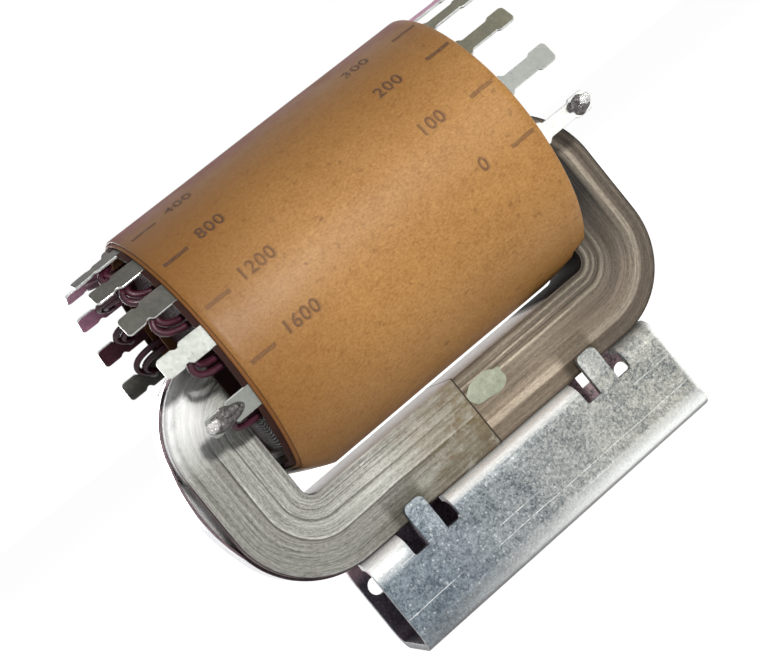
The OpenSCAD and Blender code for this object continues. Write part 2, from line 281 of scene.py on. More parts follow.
def edged_copy(node: str, name: str, edge: float) -> Piece:
    """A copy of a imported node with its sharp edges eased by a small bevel.

    Args:
        node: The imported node.
        name: Name of the copy.
        edge: Width of the bevel.

    Returns:
        The copy, which replaces the node.
    """
    work = bmesh.new()
    work.from_mesh(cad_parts[node].data)
    bmesh.ops.remove_doubles(work, verts=work.verts, dist=1e-7)
    bmesh.ops.dissolve_limit(work, angle_limit=math.radians(0.4), verts=work.verts, edges=work.edges)
    mesh = bpy.data.meshes.new(name)
    work.to_mesh(mesh)
    work.free()
    piece = placed(name, mesh)
    bevel = piece.modifiers.new("eased edges", "BEVEL")
    bevel.width = edge
    bevel.segments = 2
    bevel.limit_method = "ANGLE"
    bevel.angle_limit = math.radians(40)
    bevel.harden_normals = True
    bevel.use_clamp_overlap = True
    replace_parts(piece, node)
    return piece


# ---------------------------------------------------------------------------------------------
# Shader trees
# ---------------------------------------------------------------------------------------------


def rgba(color: Sequence[float]) -> tuple[float, float, float, float]:
    """A colour with full alpha."""
    return (*color, 1.0)


def scaled(color: Rgb, factor: float) -> Rgb:
    """A colour made lighter or darker by a factor."""
    return tuple(factor * part for part in color)


class Graph:
    """Short calls that write a node tree."""

    def __init__(self, tree: bpy.types.NodeTree) -> None:
        """Empties the tree and keeps it to write into."""
        self.tree = tree
        tree.nodes.clear()

    def add(self, kind: str, values: dict[Any, Any] | None = None, **settings: Any) -> bpy.types.Node:
        """Adds a node.

        Args:
            kind: The node's type, such as ShaderNodeMath.
            values: Input name or number to a constant, or to the socket that feeds it.
            **settings: Properties of the node itself.

        Returns:
            The node.
        """
        node = self.tree.nodes.new(kind)
        for key, value in settings.items():
            setattr(node, key, value)
        for key, value in (values or {}).items():
            if isinstance(value, Socket):
                self.tree.links.new(value, node.inputs[key])
            else:
                node.inputs[key].default_value = value
        return node

    def math(self, operation: str, a: Any, b: Any = 0.0) -> Socket:
        """One Math node's result."""
        return self.add("ShaderNodeMath", {0: a, 1: b}, operation=operation).outputs[0]

    def chain(self, operation: str, values: Sequence[Any]) -> Socket:
        """One operation over all the values, from the first to the last."""
        total = values[0]
        for value in values[1:]:
            total = self.math(operation, total, value)
        return total

    def times(self, *values: Any) -> Socket:
        """The product of all the values."""
        return self.chain("MULTIPLY", values)

    def plus(self, *values: Any) -> Socket:
        """The sum of all the values."""
        return self.chain("ADD", values)

    def weighted(self, *pairs: tuple[Any, Any]) -> Socket:
        """The sum of some values, each times its weight."""
        return self.plus(*(self.times(value, weight) for value, weight in pairs))

    def largest(self, *values: Any) -> Socket:
        """The largest of all the values."""
        return self.chain("MAXIMUM", values)

    def apart(self, value: Any, place: float) -> Socket:
        """How far a value is from a place, on either side."""
        return self.math("ABSOLUTE", self.math("SUBTRACT", value, place))

    def span(self, value: Any, low: Any, high: Any, to_low: Any = 0.0, to_high: Any = 1.0) -> Socket:
        """Carries low..high to to_low..to_high, held at the ends."""
        return self.add("ShaderNodeMapRange", {0: value, 1: low, 2: high, 3: to_low, 4: to_high},
                        clamp=True).outputs[0]

    def between(self, share: Any, low: Any, high: Any) -> Socket:
        """Low where the share is 0 and high where it is 1."""
        return self.span(share, 0.0, 1.0, low, high)

    def mix(self, share: Any, a: Any, b: Any, blend: str = "MIX") -> Socket:
        """Mixes two colours."""
        node = self.add("ShaderNodeMix", {0: share, 6: a, 7: b}, data_type="RGBA", blend_type=blend)
        return node.outputs[2]

    def blend(self, share: Any, a: Rgb, b: Rgb) -> Socket:
        """Mixes two plain colours."""
        return self.mix(share, rgba(a), rgba(b))

    def coat(self, under: Socket, share: Any, color: Rgb) -> Socket:
        """Covers a share of what lies under with a colour."""
        return self.mix(share, under, rgba(color))

    def tint(self, under: Socket, share: Any, factor: Rgb) -> Socket:
        """Multiplies a share of what lies under by a colour."""
        return self.mix(share, under, rgba(factor), "MULTIPLY")

    def noise(self, vector: Any, scale: Any, detail: float = 4.0, roughness: float = 0.55) -> Socket:
        """Noise from 0 to 1 at a scale in cycles per unit of the vector."""
        node = self.add("ShaderNodeTexNoise", {"Vector": vector, "Scale": scale, "Detail": detail,
                                               "Roughness": roughness})
        return node.outputs["Fac"]

    def place(self) -> Socket:
        """Object coordinates."""
        return self.add("ShaderNodeTexCoord").outputs["Object"]

    def split(self, vector: Socket) -> tuple[Socket, Socket, Socket]:
        """X, Y and Z of a vector."""
        return tuple(self.add("ShaderNodeSeparateXYZ", {0: vector}).outputs)

    def stretched(self, vector: Any, scale: Sequence[float]) -> Socket:
        """The vector with each axis scaled."""
        return self.add("ShaderNodeMapping", {"Vector": vector, "Scale": scale}).outputs[0]

    def bump(self, height: Any, strength: float, depth: float) -> Socket:
        """A normal from a height, with depth in metres."""
        node = self.add("ShaderNodeBump", {"Strength": strength, "Distance": depth, "Height": height})
        return node.outputs[0]

    def seen_directly(self) -> Socket:
        """1 for camera, glossy and transmission rays, and 0 for the rest."""
        rays = self.add("ShaderNodeLightPath").outputs
        return self.largest(rays["Is Camera Ray"], rays["Is Glossy Ray"], rays["Is Transmission Ray"])


def mask_group(name: str, **settings: float) -> tuple[Graph, bpy.types.bpy_prop_collection]:
    """Starts a shader node group that turns a vector into a mask.

    Args:
        name: Name of the group.
        **settings: Its further inputs with their default values.

    Returns:
        A graph to write the group with, and its inputs as sockets by name.
    """
    tree = bpy.data.node_groups.new(name, "ShaderNodeTree")
    tree.interface.new_socket(name="Vector", in_out="INPUT", socket_type="NodeSocketVector")
    for key, value in settings.items():
        socket = tree.interface.new_socket(name=key, in_out="INPUT", socket_type="NodeSocketFloat")
        socket.default_value = value
    tree.interface.new_socket(name="Mask", in_out="OUTPUT", socket_type="NodeSocketFloat")
    graph = Graph(tree)
    return graph, graph.add("NodeGroupInput").outputs


class SharedGroups:
    """The node groups that more than one finish uses, with short calls to place them."""

    def __init__(self) -> None:
        """Builds each group once."""
        self.mottle = self._mottle()
        self.specks = self._specks()

    def clouds(self, g: Graph, spot: Socket, size: float, fine: float = 5.0, share: float = 0.4) -> Socket:
        """Cloudy variation of a size, with a share of noise that is finer by a factor."""
        return g.add("ShaderNodeGroup", {"Vector": spot, "Size": size, "Fine": fine, "Share": share},
                     node_tree=self.mottle).outputs[0]

    def dots(self, g: Graph, spot: Socket, size: float, reach: float) -> Socket:
        """Sparse round specks that fill a reach of their cells."""
        return g.add("ShaderNodeGroup", {"Vector": spot, "Size": size, "Reach": reach, "Rarity": 0.8},
                     node_tree=self.specks).outputs[0]

    @staticmethod
    def _mottle() -> bpy.types.NodeTree:
        """Cloudy variation: coarse and fine noise mixed, and stretched to fill 0 to 1."""
        g, come = mask_group("mottle", Size=200.0, Fine=6.0, Share=0.4)
        coarse = g.noise(come["Vector"], come["Size"], 5.0, 0.6)
        fine = g.noise(come["Vector"], g.times(come["Size"], come["Fine"]), 3.0, 0.6)
        rest = g.math("SUBTRACT", 1.0, come["Share"])
        total = g.weighted((coarse, rest), (fine, come["Share"]))
        g.add("NodeGroupOutput", {"Mask": g.span(total, 0.32, 0.68)})
        return g.tree

    @staticmethod
    def _specks() -> bpy.types.NodeTree:
        """Sparse round specks: the middles of some of the cells of a Voronoi pattern."""
        g, come = mask_group("specks", Size=1500.0, Reach=0.25, Rarity=0.7)
        cells = g.add("ShaderNodeTexVoronoi", {"Vector": come["Vector"], "Scale": come["Size"]})
        dot = g.span(cells.outputs["Distance"], come["Reach"], 0.0)
        parts = g.add("ShaderNodeSeparateColor", {0: cells.outputs["Color"]})
        chosen = g.math("GREATER_THAN", parts.outputs[0], come["Rarity"])
        g.add("NodeGroupOutput", {"Mask": g.times(dot, chosen)})
        return g.tree


@dataclass(frozen=True)
class Finish:
    """A surface finish. Its settings are fields, and inputs() writes what feeds its shader."""

    name: str

    def inputs(self, g: Graph, groups: SharedGroups) -> dict[str, Any]:
        """What goes into the Principled BSDF; each finish writes its own."""
        raise NotImplementedError

    def surface(self, g: Graph, groups: SharedGroups) -> Socket:
        """The shader that covers the piece."""
        return g.add("ShaderNodeBsdfPrincipled", self.inputs(g, groups)).outputs[0]

    def material(self, groups: SharedGroups) -> Material:
        """Makes the material.

        Args:
            groups: The shared node groups.

        Returns:
            The material, with its node tree written.
        """
        made = bpy.data.materials.new(self.name)
        made.use_nodes = True
        g = Graph(made.node_tree)
        g.add("ShaderNodeOutputMaterial", {"Surface": self.surface(g, groups)})
        return made


@dataclass(frozen=True)
class KraftPaper(Finish):
    """Kraft paper steeped in varnish: fibres, clouds, dark flecks and a soft sheen, with painted shade over
    its crown, along its top and at its left end.

    Each fleck row is the scale of a noise, the ends of its crests and how much they cover.
    """

    color: Rgb = (0.585, 0.320, 0.110)
    dark: Rgb = (0.285, 0.116, 0.022)
    speck: Rgb = (0.12, 0.042, 0.011)
    # Painted shade over the crown, in a maroon band along the top and at the left end.
    crown_shade: Rgb = (0.165, 0.064, 0.007)
    top_maroon_shade: Rgb = (0.20, 0.042, 0.060)
    left_end_shade: Rgb = (0.165, 0.062, 0.008)
    roughness: float = 0.38
    cloud_size: float = 75.0
    fibre_size: float = 2300.0
    fleck_rows: tuple[tuple[float, float, float, float], ...] = (
        (900.0, 0.60, 0.74, 0.45), (2600.0, 0.62, 0.76, 0.5))
    crown_z: Span = (47.5 * MM, 62.5 * MM)
    crown_share: float = 0.86
    left_end_shade_x: Span = (-22.5 * MM, -4.5 * MM)
    left_end_shade_share: float = 0.62
    ragged: float = 3.0 * MM
    top_shade_blobs: Span = (330.0, 110.0)
    top_shade_z: Span = (59.9 * MM, 61.4 * MM)
    top_shade_y: Span = (3.5 * MM, 0.0)
    stain_share: Span = (0.30, 0.72)
    top_shade_ragged: float = 1.6 * MM
    spread: float = 4.0 * MM
    sheen: Span = (0.3, 0.05)

    def inputs(self, g: Graph, groups: SharedGroups) -> dict[str, Any]:
        """Clouds, fibres and flecks, with painted shade over the crown, a ragged maroon band of painted shade
        along the top, and painted shade at the left end.
        """
        spot = g.place()
        clouds = groups.clouds(g, spot, self.cloud_size, 7.0, 0.45)
        grain = g.span(g.noise(g.stretched(spot, (1.0, 1.5, 1.5)), self.fibre_size, 5.0, 0.8), 0.34, 0.66)
        paper = g.blend(g.weighted((clouds, 0.36), (grain, 0.64)), self.color, self.dark)
        for size, low, high, share in self.fleck_rows:
            flecks = g.span(g.noise(spot, size, 3.0, 0.6), low, high)
            paper = g.coat(paper, g.times(flecks, share), self.speck)
        x, y, z = g.split(spot)
        # Painted shade: over the crown, at the left end, and in a ragged maroon band along the top.
        paper = g.coat(paper, g.span(z, *self.crown_z, 0.0, self.crown_share), self.crown_shade)
        edge = g.plus(x, g.times(clouds, self.ragged))
        paper = g.coat(paper, g.span(edge, *self.left_end_shade_x, self.left_end_shade_share, 0.0), self.left_end_shade)
        ragged_z = g.math("SUBTRACT", z, g.times(g.noise(spot, self.top_shade_blobs[0], 4.0), self.top_shade_ragged))
        front = g.plus(y, g.times(clouds, self.spread))
        top_shade_mask = g.times(g.span(ragged_z, *self.top_shade_z), g.span(front, *self.top_shade_y))
        thin = g.span(g.noise(spot, self.top_shade_blobs[1], 4.0), 0.36, 0.62, *self.stain_share)
        paper = g.coat(paper, g.times(top_shade_mask, thin), self.top_maroon_shade)
        relief = g.plus(grain, g.times(clouds, 0.5))
        return {"Base Color": paper,
                "Roughness": g.between(clouds, self.roughness, self.roughness + 0.10),
                "Specular IOR Level": g.between(top_shade_mask, *self.sheen),
                "Normal": g.bump(relief, 0.2, 0.022 * MM)}


@dataclass(frozen=True)
class Ink(Finish):
    """Stamped ink that has sunk into the paper and gone patchy."""

    color: Rgb = (0.075, 0.038, 0.026)
    strength: float = 0.60

    def inputs(self, g: Graph, groups: SharedGroups) -> dict[str, Any]:
        """One dark tone whose cover follows a patchy mask."""
        patches = groups.clouds(g, g.place(), 420.0)
        cover = g.span(patches, 0.0, 0.8, self.strength * 0.55, self.strength)
        tone = g.blend(patches, self.color, scaled(self.color, 1.6))
        return {"Base Color": tone, "Alpha": cover, "Roughness": 0.6}


@dataclass(frozen=True)
class StripSteel(Finish):
    """Faces of a pack of wound steel strip. The UV map runs along the turns and across them.

    Each band is a place in millimetres from the core's outside with the tone that the face has
    there; between bands the tone is blended.
    """

    # The dark line at 4.5 mm and the light line at 4.76 mm beside it are painted shade and painted highlight
    # on the groove there.
    bands: tuple[tuple[float, Rgb], ...] = (
        (0.0, (0.045, 0.020, 0.024)), (0.08, (0.16, 0.15, 0.14)), (0.25, (0.40, 0.405, 0.39)),
        (0.6, (0.21, 0.21, 0.195)), (1.6, (0.215, 0.22, 0.20)), (2.6, (0.26, 0.265, 0.245)),
        (3.9, (0.21, 0.21, 0.195)), (4.35, (0.17, 0.17, 0.155)), (4.5, (0.06, 0.06, 0.055)),
        (4.62, (0.09, 0.09, 0.08)), (4.76, (0.46, 0.465, 0.445)), (5.1, (0.29, 0.295, 0.275)),
        (6.6, (0.31, 0.315, 0.295)), (6.85, (0.12, 0.12, 0.11)), (7.0, (0.34, 0.345, 0.325)),
        (7.9, (0.31, 0.315, 0.295)), (8.0, (0.17, 0.17, 0.155)), (8.15, (0.33, 0.335, 0.315)),
        (8.75, (0.32, 0.325, 0.305)), (8.85, (0.18, 0.18, 0.165)), (9.0, (0.33, 0.335, 0.315)),
        (9.7, (0.24, 0.24, 0.225)), (10.0, (0.30, 0.30, 0.29)))
    stain: Rgb = (0.150, 0.104, 0.040)
    stain_x: Span = (-14.0 * MM, -2.0 * MM)
    stain_share: float = 0.92
    streaks: float = 0.8
    streak_dark: Rgb = (0.28, 0.28, 0.27)
    streak_light: Rgb = (1.9, 1.9, 1.88)
    pit: Rgb = (0.07, 0.055, 0.04)
    metallic: float = 0.2
    roughness: float = 0.38
    far_face: float = 32.5 * MM
    wall_from: float = 9.92 * MM
    # Painted glare on the window's walls, turning to painted shade towards the corner.
    window_glare: Rgb = (0.82, 0.82, 0.84)
    shade: Rgb = (0.012, 0.008, 0.008)
    shade_x: Span = (21.2 * MM, 22.2 * MM)
    # Share of the painted highlight, the painted contact shade and the pale and rusty patches.
    highlight_shade_and_stain_share: float = 0.85
    leg_lift: Rgb = (1.55, 1.55, 1.53)
    leg_x: Span = (-21.5 * MM, -15.0 * MM)
    # Painted highlight on the bend near the tags.
    rubs_and_highlight: Rgb = (0.86, 0.87, 0.88)
    highlight_x: Span = (-23.5 * MM, -27.5 * MM)
    highlight_z: Span = (33.5 * MM, 39.2 * MM)
    # Painted shade on the leg just above the bracket.
    contact_shade: Rgb = (0.50, 0.46, 0.40)
    contact_shade_x: Span = (-24.0 * MM, -18.0 * MM)
    contact_shade_z: Span = (18.0 * MM, 14.0 * MM)
    pale: Rgb = (0.44, 0.44, 0.39)
    rust: Rgb = (0.13, 0.072, 0.030)
    # Painted shade on the inner turns near the coil, strongest towards the top.
    dim_depth: Span = (2.4 * MM, 3.6 * MM)
    dim_z: Span = (16.0 * MM, 31.0 * MM)
    dim_top: float = 1.0
    bend_leg: Span = (1.0, 1.0)
    bend_leg_x: Span = (20.0 * MM, 11.0 * MM)
    fingers: Span = (-13.7 * MM, 15.1 * MM)
    # Painted shadows round the bracket's fingers.
    finger_shadow: Rgb = (0.30, 0.27, 0.23)
    finger_shadow_reach: Span = (3.0 * MM, 2.0 * MM)
    finger_shadow_z: Span = (18.5 * MM, 16.0 * MM)

    def lines(self, g: Graph, surface: Socket) -> tuple[Socket, Socket, Socket]:
        """Fine and coarse streaks that follow the turns, and short scuffs between them."""
        fine = g.noise(g.stretched(surface, (0.03, 1.0, 1.0)), 8000.0, 5.0, 0.75)
        coarse = g.noise(g.stretched(surface, (0.02, 1.0, 1.0)), 1300.0, 4.0, 0.65)
        grain = g.noise(g.stretched(surface, (0.4, 1.0, 1.0)), 4200.0, 5.0, 0.85)
        return g.span(fine, 0.32, 0.68), g.span(coarse, 0.36, 0.64), g.span(grain, 0.36, 0.64)

    def banded(self, g: Graph, folded: Socket, surface: Socket) -> Socket:
        """The tone at each distance from the outside, waved a little along the turns."""
        wave = g.noise(g.stretched(surface, (0.3, 1.0, 1.0)), 160.0, 2.0)
        shift = g.span(wave, 0.2, 0.8, -0.25 * MM, 0.25 * MM)
        ramp = g.add("ShaderNodeValToRGB", {0: g.times(g.plus(folded, shift), 0.1 / MM)})
        stops = ramp.color_ramp.elements
        while len(stops) < len(self.bands):
            stops.new(0.5)
        for stop, (place, tone) in zip(stops, self.bands):
            stop.position = place / 10.0
            stop.color = rgba(tone)
        return ramp.outputs[0]

    def lighter_leg_and_highlight(self, g: Graph, metal: Socket, x: Socket, z: Socket, clouds: Socket) -> Socket:
        """A lighter leg, and an almost white painted highlight on the bend near the tags."""
        leg = g.times(g.span(x, *self.leg_x), g.between(clouds, 0.1, 0.6))
        metal = g.tint(metal, leg, self.leg_lift)
        bend = g.times(g.span(z, *self.highlight_z), g.span(x, *self.highlight_x),
                       g.span(clouds, 0.0, 0.5, 0.55, 1.0), self.highlight_shade_and_stain_share)
        return g.coat(metal, bend, self.rubs_and_highlight)

    def shade_and_stains(self, g: Graph, metal: Socket, x: Socket, z: Socket, clouds: Socket, near: Socket,
               spot: Socket) -> Socket:
        """Painted shade on the leg just above the bracket, and pale and rusty patches towards the joint."""
        contact_shade = g.times(g.span(z, *self.contact_shade_z), g.span(x, *self.contact_shade_x), self.highlight_shade_and_stain_share,
                        g.span(clouds, 0.0, 0.7, 0.4, 1.0))
        metal = g.tint(metal, contact_shade, self.contact_shade)
        patches = g.noise(g.stretched(spot, (0.6, 1.0, 1.0)), 520.0, 4.0, 0.7)
        pale = g.times(g.span(patches, 0.46, 0.38), g.span(near, 0.0, 0.5, 0.0, self.highlight_shade_and_stain_share), 0.45)
        metal = g.coat(metal, pale, self.pale)
        rusty = g.times(g.span(patches, 0.54, 0.64), g.span(near, 0.1, 0.7, 0.0, self.highlight_shade_and_stain_share), 0.8)
        return g.coat(metal, rusty, self.rust)

    def finger_shadows(self, g: Graph, metal: Socket, x: Socket, z: Socket) -> Socket:
        """Painted shadows round the bracket's fingers."""
        for finger_x in self.fingers:
            beside = g.span(g.apart(x, finger_x - 0.5 * MM), *self.finger_shadow_reach)
            shadow_mask = g.times(beside, g.span(z, *self.finger_shadow_z), 0.85)
            metal = g.tint(metal, shadow_mask, self.finger_shadow)
        return metal

    def shade_near_coil(self, g: Graph, x: Socket, z: Socket, folded: Socket) -> Socket:
        """A factor of painted shade that falls on the inner turns towards the coil, most at the top, and
        differs by bend and leg.
        """
        upper = g.span(z, *self.dim_z, 1.0, self.dim_top)
        dim = g.between(g.span(folded, *self.dim_depth), 1.0, upper)
        dim = g.times(dim, g.span(x, *self.bend_leg_x, *self.bend_leg))
        return g.add("ShaderNodeCombineColor", {0: dim, 1: dim, 2: dim}).outputs[0]

    def inputs(self, g: Graph, groups: SharedGroups) -> dict[str, Any]:
        """Bands and streaks along the turns, pits, stains at the joint, painted highlights and shadows, and
        painted glare and shade on the window's walls.
        """
        spot = g.place()
        x, _, z = g.split(spot)
        surface = g.add("ShaderNodeUVMap", uv_map="surface").outputs[0]
        across = g.split(surface)[1]
        folded = g.math("MINIMUM", across, g.math("SUBTRACT", self.far_face, across))
        fine, coarse, grain = self.lines(g, surface)
        tone = g.span(g.weighted((fine, 0.32), (coarse, 0.34), (grain, 0.34)), 0.22, 0.76)
        metal = self.banded(g, folded, surface)
        metal = g.mix(tone, g.tint(metal, self.streaks, self.streak_dark),
                      g.tint(metal, self.streaks, self.streak_light))
        clouds = groups.clouds(g, spot, 190.0)
        if self.highlight_shade_and_stain_share:
            metal = self.lighter_leg_and_highlight(g, metal, x, z, clouds)
        near = g.span(x, *self.stain_x)
        rust = g.times(g.span(clouds, 0.2, 0.8, 0.55, 1.0), g.between(near, 0.04, 1.0))
        metal = g.coat(metal, g.times(rust, self.stain_share), self.stain)
        if self.highlight_shade_and_stain_share:
            metal = self.shade_and_stains(g, metal, x, z, clouds, near, spot)
        metal = self.finger_shadows(g, metal, x, z)
        pits = groups.dots(g, spot, 900.0, 0.26)
        metal = g.coat(metal, g.times(pits, 0.5), self.pit)
        metal = g.mix(1.0, metal, self.shade_near_coil(g, x, z, folded), "MULTIPLY")
        # The window's walls: painted glare, turning to painted shade towards the corner.
        corner = g.span(g.math("ABSOLUTE", x), *self.shade_x)
        inside = g.math("GREATER_THAN", folded, self.wall_from)
        metal = g.mix(inside, metal, g.blend(corner, self.window_glare, self.shade))
        rough = g.between(tone, self.roughness + 0.18, self.roughness)
        rough = g.between(inside, rough, g.between(corner, 0.22, 0.8))
        height = g.weighted((fine, 1.0), (coarse, 0.8), (grain, 0.7))
        return {"Base Color": metal, "Metallic": self.metallic, "Roughness": rough,
                "Specular IOR Level": 0.3, "Normal": g.bump(height, 0.55, 0.04 * MM)}


@dataclass(frozen=True)
class ZincSheet(Finish):
    """Zinc plated sheet: fine spangles, long rub lines, painted highlights on the folds and ends, painted
    shade and pink reflection inside, and a tone darker and colder to the left, lighter and warmer to the
    right.

    Each rub is the height of a line on the walls and the X where it starts and ends, in
    millimetres.
    """

    light: Rgb = (0.31, 0.315, 0.315)
    deep: Rgb = (0.055, 0.068, 0.080)
    spangle: Rgb = (0.62, 0.64, 0.64)
    warm: Rgb = (1.42, 1.38, 1.24)
    cold: Rgb = (0.56, 0.66, 0.76)
    # White of the rub lines and of the painted highlights on the folds and ends.
    worn: Rgb = (0.96, 0.98, 0.975)
    # Painted pink reflection and shade inside the channel.
    inside: Rgb = (0.85, 0.58, 0.66)
    # Painted shade along the bottom edge of the foot.
    foot_edge: Rgb = (0.10, 0.095, 0.10)
    finger_lift: Rgb = (1.5, 1.48, 1.45)
    finger_x: float = -13.7 * MM
    cold_warm_x: Span = (-18.0 * MM, 20.0 * MM)
    metallic: float = 0.5
    top_fold_z: Span = (11.6 * MM, 12.4 * MM)
    top_fold_x: Span = (9.5 * MM, 14.5 * MM)
    top_fold_gap: Span = (1.5 * MM, 1.9 * MM)
    foot_fold_z: Span = (3.1 * MM, 1.2 * MM)
    foot_fold_x: Span = (-20.0 * MM, 12.0 * MM)
    right_end_x: Span = (23.6 * MM, 24.3 * MM)
    left_end_x: Span = (-16.0 * MM, -19.0 * MM)
    left_end_z: Span = (9.8 * MM, 12.2 * MM)
    finger_reach: Span = (1.7 * MM, 1.5 * MM)
    finger_z: Span = (9.5 * MM, 11.5 * MM)
    foot_edge_z: Span = (0.8 * MM, 0.4 * MM)
    inside_y: Span = (6.6 * MM, 6.4 * MM)
    inside_low_z: Span = (0.8 * MM, 1.1 * MM)
    inside_high_z: Span = (12.6 * MM, 12.3 * MM)
    front_y: Span = (-6.0 * MM, -6.6 * MM)
    rubs: tuple[tuple[float, float, float], ...] = (
        (4.35, -8.5, 24.4), (8.3, 18.0, 23.6), (4.85, -23.0, -14.5), (6.1, -6.5, -1.0),
        (10.4, -22.0, -15.0), (2.7, 4.0, 19.0))
    rub_fade: float = 0.6

    def rubs_and_highlight(self, g: Graph, spot: Socket) -> Socket:
        """Thin lines along X at the heights of the rubs on the front wall, a little broken."""
        x, y, z = g.split(spot)
        sway = g.plus(z, g.span(g.noise(spot, 90.0, 2.0), 0.2, 0.8, -0.1 * MM, 0.1 * MM))
        lines = []
        for height, start, end in self.rubs:
            line = g.span(g.apart(sway, height * MM), 0.07 * MM, 0.01 * MM)
            begun = g.span(x, (start - self.rub_fade) * MM, start * MM)
            going = g.span(x, (end + self.rub_fade) * MM, end * MM)
            lines.append(g.times(line, begun, going))
        gaps = g.span(g.noise(spot, 700.0, 3.0), 0.36, 0.6, 0.15, 0.6)
        return g.times(g.largest(*lines), g.times(gaps, g.span(y, *self.front_y)))

    def wear_and_highlights(self, g: Graph, spot: Socket, beside: Socket) -> Socket:
        """Where the zinc is painted near white: painted highlights on both folds and the wall's ends, and the
        rub lines.
        """
        x, _, z = g.split(spot)
        fold = g.times(g.span(z, *self.top_fold_z), g.span(x, *self.top_fold_x, 1.0, 0.1),
                       g.span(beside, *self.top_fold_gap))
        foot = g.times(g.span(z, *self.foot_fold_z), g.span(x, *self.foot_fold_x, 0.12, 1.0))
        right_end = g.span(x, *self.right_end_x)
        left_end = g.times(g.span(x, *self.left_end_x), g.span(z, *self.left_end_z, 0.0, 0.85))
        return g.largest(fold, foot, self.rubs_and_highlight(g, spot), right_end, left_end)

    def inputs(self, g: Graph, groups: SharedGroups) -> dict[str, Any]:
        """Grain over clouds, tinted along the channel, with rub lines, painted highlights on the folds and
        ends, painted pink reflection and shade inside, and painted shade along the foot's bottom edge.
        """
        spot = g.place()
        x, y, z = g.split(spot)
        cells = g.add("ShaderNodeTexVoronoi", {"Vector": spot, "Scale": 2600.0})
        tone = g.add("ShaderNodeSeparateColor", {0: cells.outputs["Color"]}).outputs[0]
        grain = g.span(g.noise(spot, 3300.0, 4.0, 0.8), 0.35, 0.65)
        clouds = groups.clouds(g, spot, 150.0)
        mixed = g.weighted((tone, 0.24), (grain, 0.42), (clouds, 0.34))
        metal = g.blend(g.span(mixed, 0.24, 0.78), self.deep, self.light)
        drift = g.plus(x, g.span(g.noise(spot, 60.0, 3.0), 0.2, 0.8, -5.0 * MM, 5.0 * MM))
        cast = g.blend(g.span(drift, *self.cold_warm_x), self.cold, self.warm)
        metal = g.mix(1.0, metal, cast, "MULTIPLY")
        metal = g.coat(metal, g.times(groups.dots(g, spot, 2300.0, 0.45), 0.5), self.spangle)
        beside = g.apart(x, self.finger_x)
        # Rub lines, and painted highlights on both folds and the wall's ends.
        wear_and_highlights = g.times(self.wear_and_highlights(g, spot, beside), g.between(grain, 0.75, 1.0))
        metal = g.coat(metal, wear_and_highlights, self.worn)
        finger = g.times(g.span(beside, *self.finger_reach), g.span(z, *self.finger_z))
        metal = g.tint(metal, finger, self.finger_lift)
        # Painted shade along the bottom edge of the foot.
        metal = g.coat(metal, g.span(z, *self.foot_edge_z, 0.0, 0.85), self.foot_edge)
        # Painted pink reflection and shade inside the channel.
        pink_reflection_and_shade = g.times(g.span(g.math("ABSOLUTE", y), *self.inside_y),
                         g.span(z, *self.inside_low_z), g.span(z, *self.inside_high_z))
        metal = g.tint(metal, pink_reflection_and_shade, self.inside)
        return {"Base Color": metal, "Metallic": self.metallic,
                "Roughness": g.span(mixed, 0.2, 0.8, 0.52, 0.30),
                "Normal": g.bump(g.plus(tone, grain), 0.5, 0.03 * MM)}


@dataclass(frozen=True)
class TinPlate(Finish):
    """Dull tinned sheet, cloudy and finely pitted."""

    light: Rgb = (0.27, 0.285, 0.26)
    deep: Rgb = (0.13, 0.138, 0.122)
    metallic: float = 0.5
    roughness: float = 0.42

    def inputs(self, g: Graph, groups: SharedGroups) -> dict[str, Any]:
        """Clouds of tin and small dark pits."""
        spot = g.place()
        clouds = groups.clouds(g, spot, 420.0, 5.0, 0.45)
        metal = g.blend(clouds, self.deep, self.light)
        pits = groups.dots(g, spot, 1700.0, 0.28)
        metal = g.coat(metal, g.times(pits, 0.6), scaled(self.deep, 0.35))
        return {"Base Color": metal, "Metallic": self.metallic,
                "Roughness": g.between(clouds, self.roughness + 0.12, self.roughness),
                "Normal": g.bump(clouds, 0.35, 0.04 * MM)}


@dataclass(frozen=True)
class WoundWire(Finish):
    """The end of a winding: edges of many turns, kept nearly black as painted shade inside the rims, with a
    few glints.
    """

    color: Rgb = (0.060, 0.013, 0.018)
    dark: Rgb = (0.008, 0.003, 0.005)
    pitch: float = 0.42 * MM

    def inputs(self, g: Graph, groups: SharedGroups) -> dict[str, Any]:
        """Rings about the coil's axis: a sine of the distance from it over the wire's pitch."""
        spot = g.place()
        axis = g.add("ShaderNodeMapping", {"Vector": spot, "Location": (0.0, 0.0, -COIL_AXIS_Z),
                                           "Scale": (0.0, 1.0, 1.0)}).outputs[0]
        reach = g.add("ShaderNodeVectorMath", {0: axis}, operation="LENGTH").outputs["Value"]
        ring = g.math("SINE", g.times(reach, 2 * math.pi / self.pitch))
        clouds = groups.clouds(g, spot, 600.0)
        tone = g.times(g.span(ring, -0.6, 1.0), clouds)
        return {"Base Color": g.blend(tone, self.dark, self.color), "Specular IOR Level": 0.08,
                "Roughness": g.between(clouds, 0.5, 0.8),
                "Normal": g.bump(g.plus(ring, clouds), 0.6, 0.08 * MM)}


@dataclass(frozen=True)
class Solder(Finish):
    """Soft solder: bright, with dull frosted patches."""

    deep: Rgb = (0.020, 0.017, 0.017)
    light: Rgb = (0.19, 0.18, 0.175)

    def inputs(self, g: Graph, groups: SharedGroups) -> dict[str, Any]:
        """Two tones of tin lead alloy with roughness to match."""
        patches = groups.clouds(g, g.place(), 900.0, 4.0)
        return {"Base Color": g.blend(patches, self.deep, self.light), "Metallic": 0.7,
                "Roughness": g.between(patches, 0.42, 0.16),
                "Normal": g.bump(patches, 0.7, 0.16 * MM)}


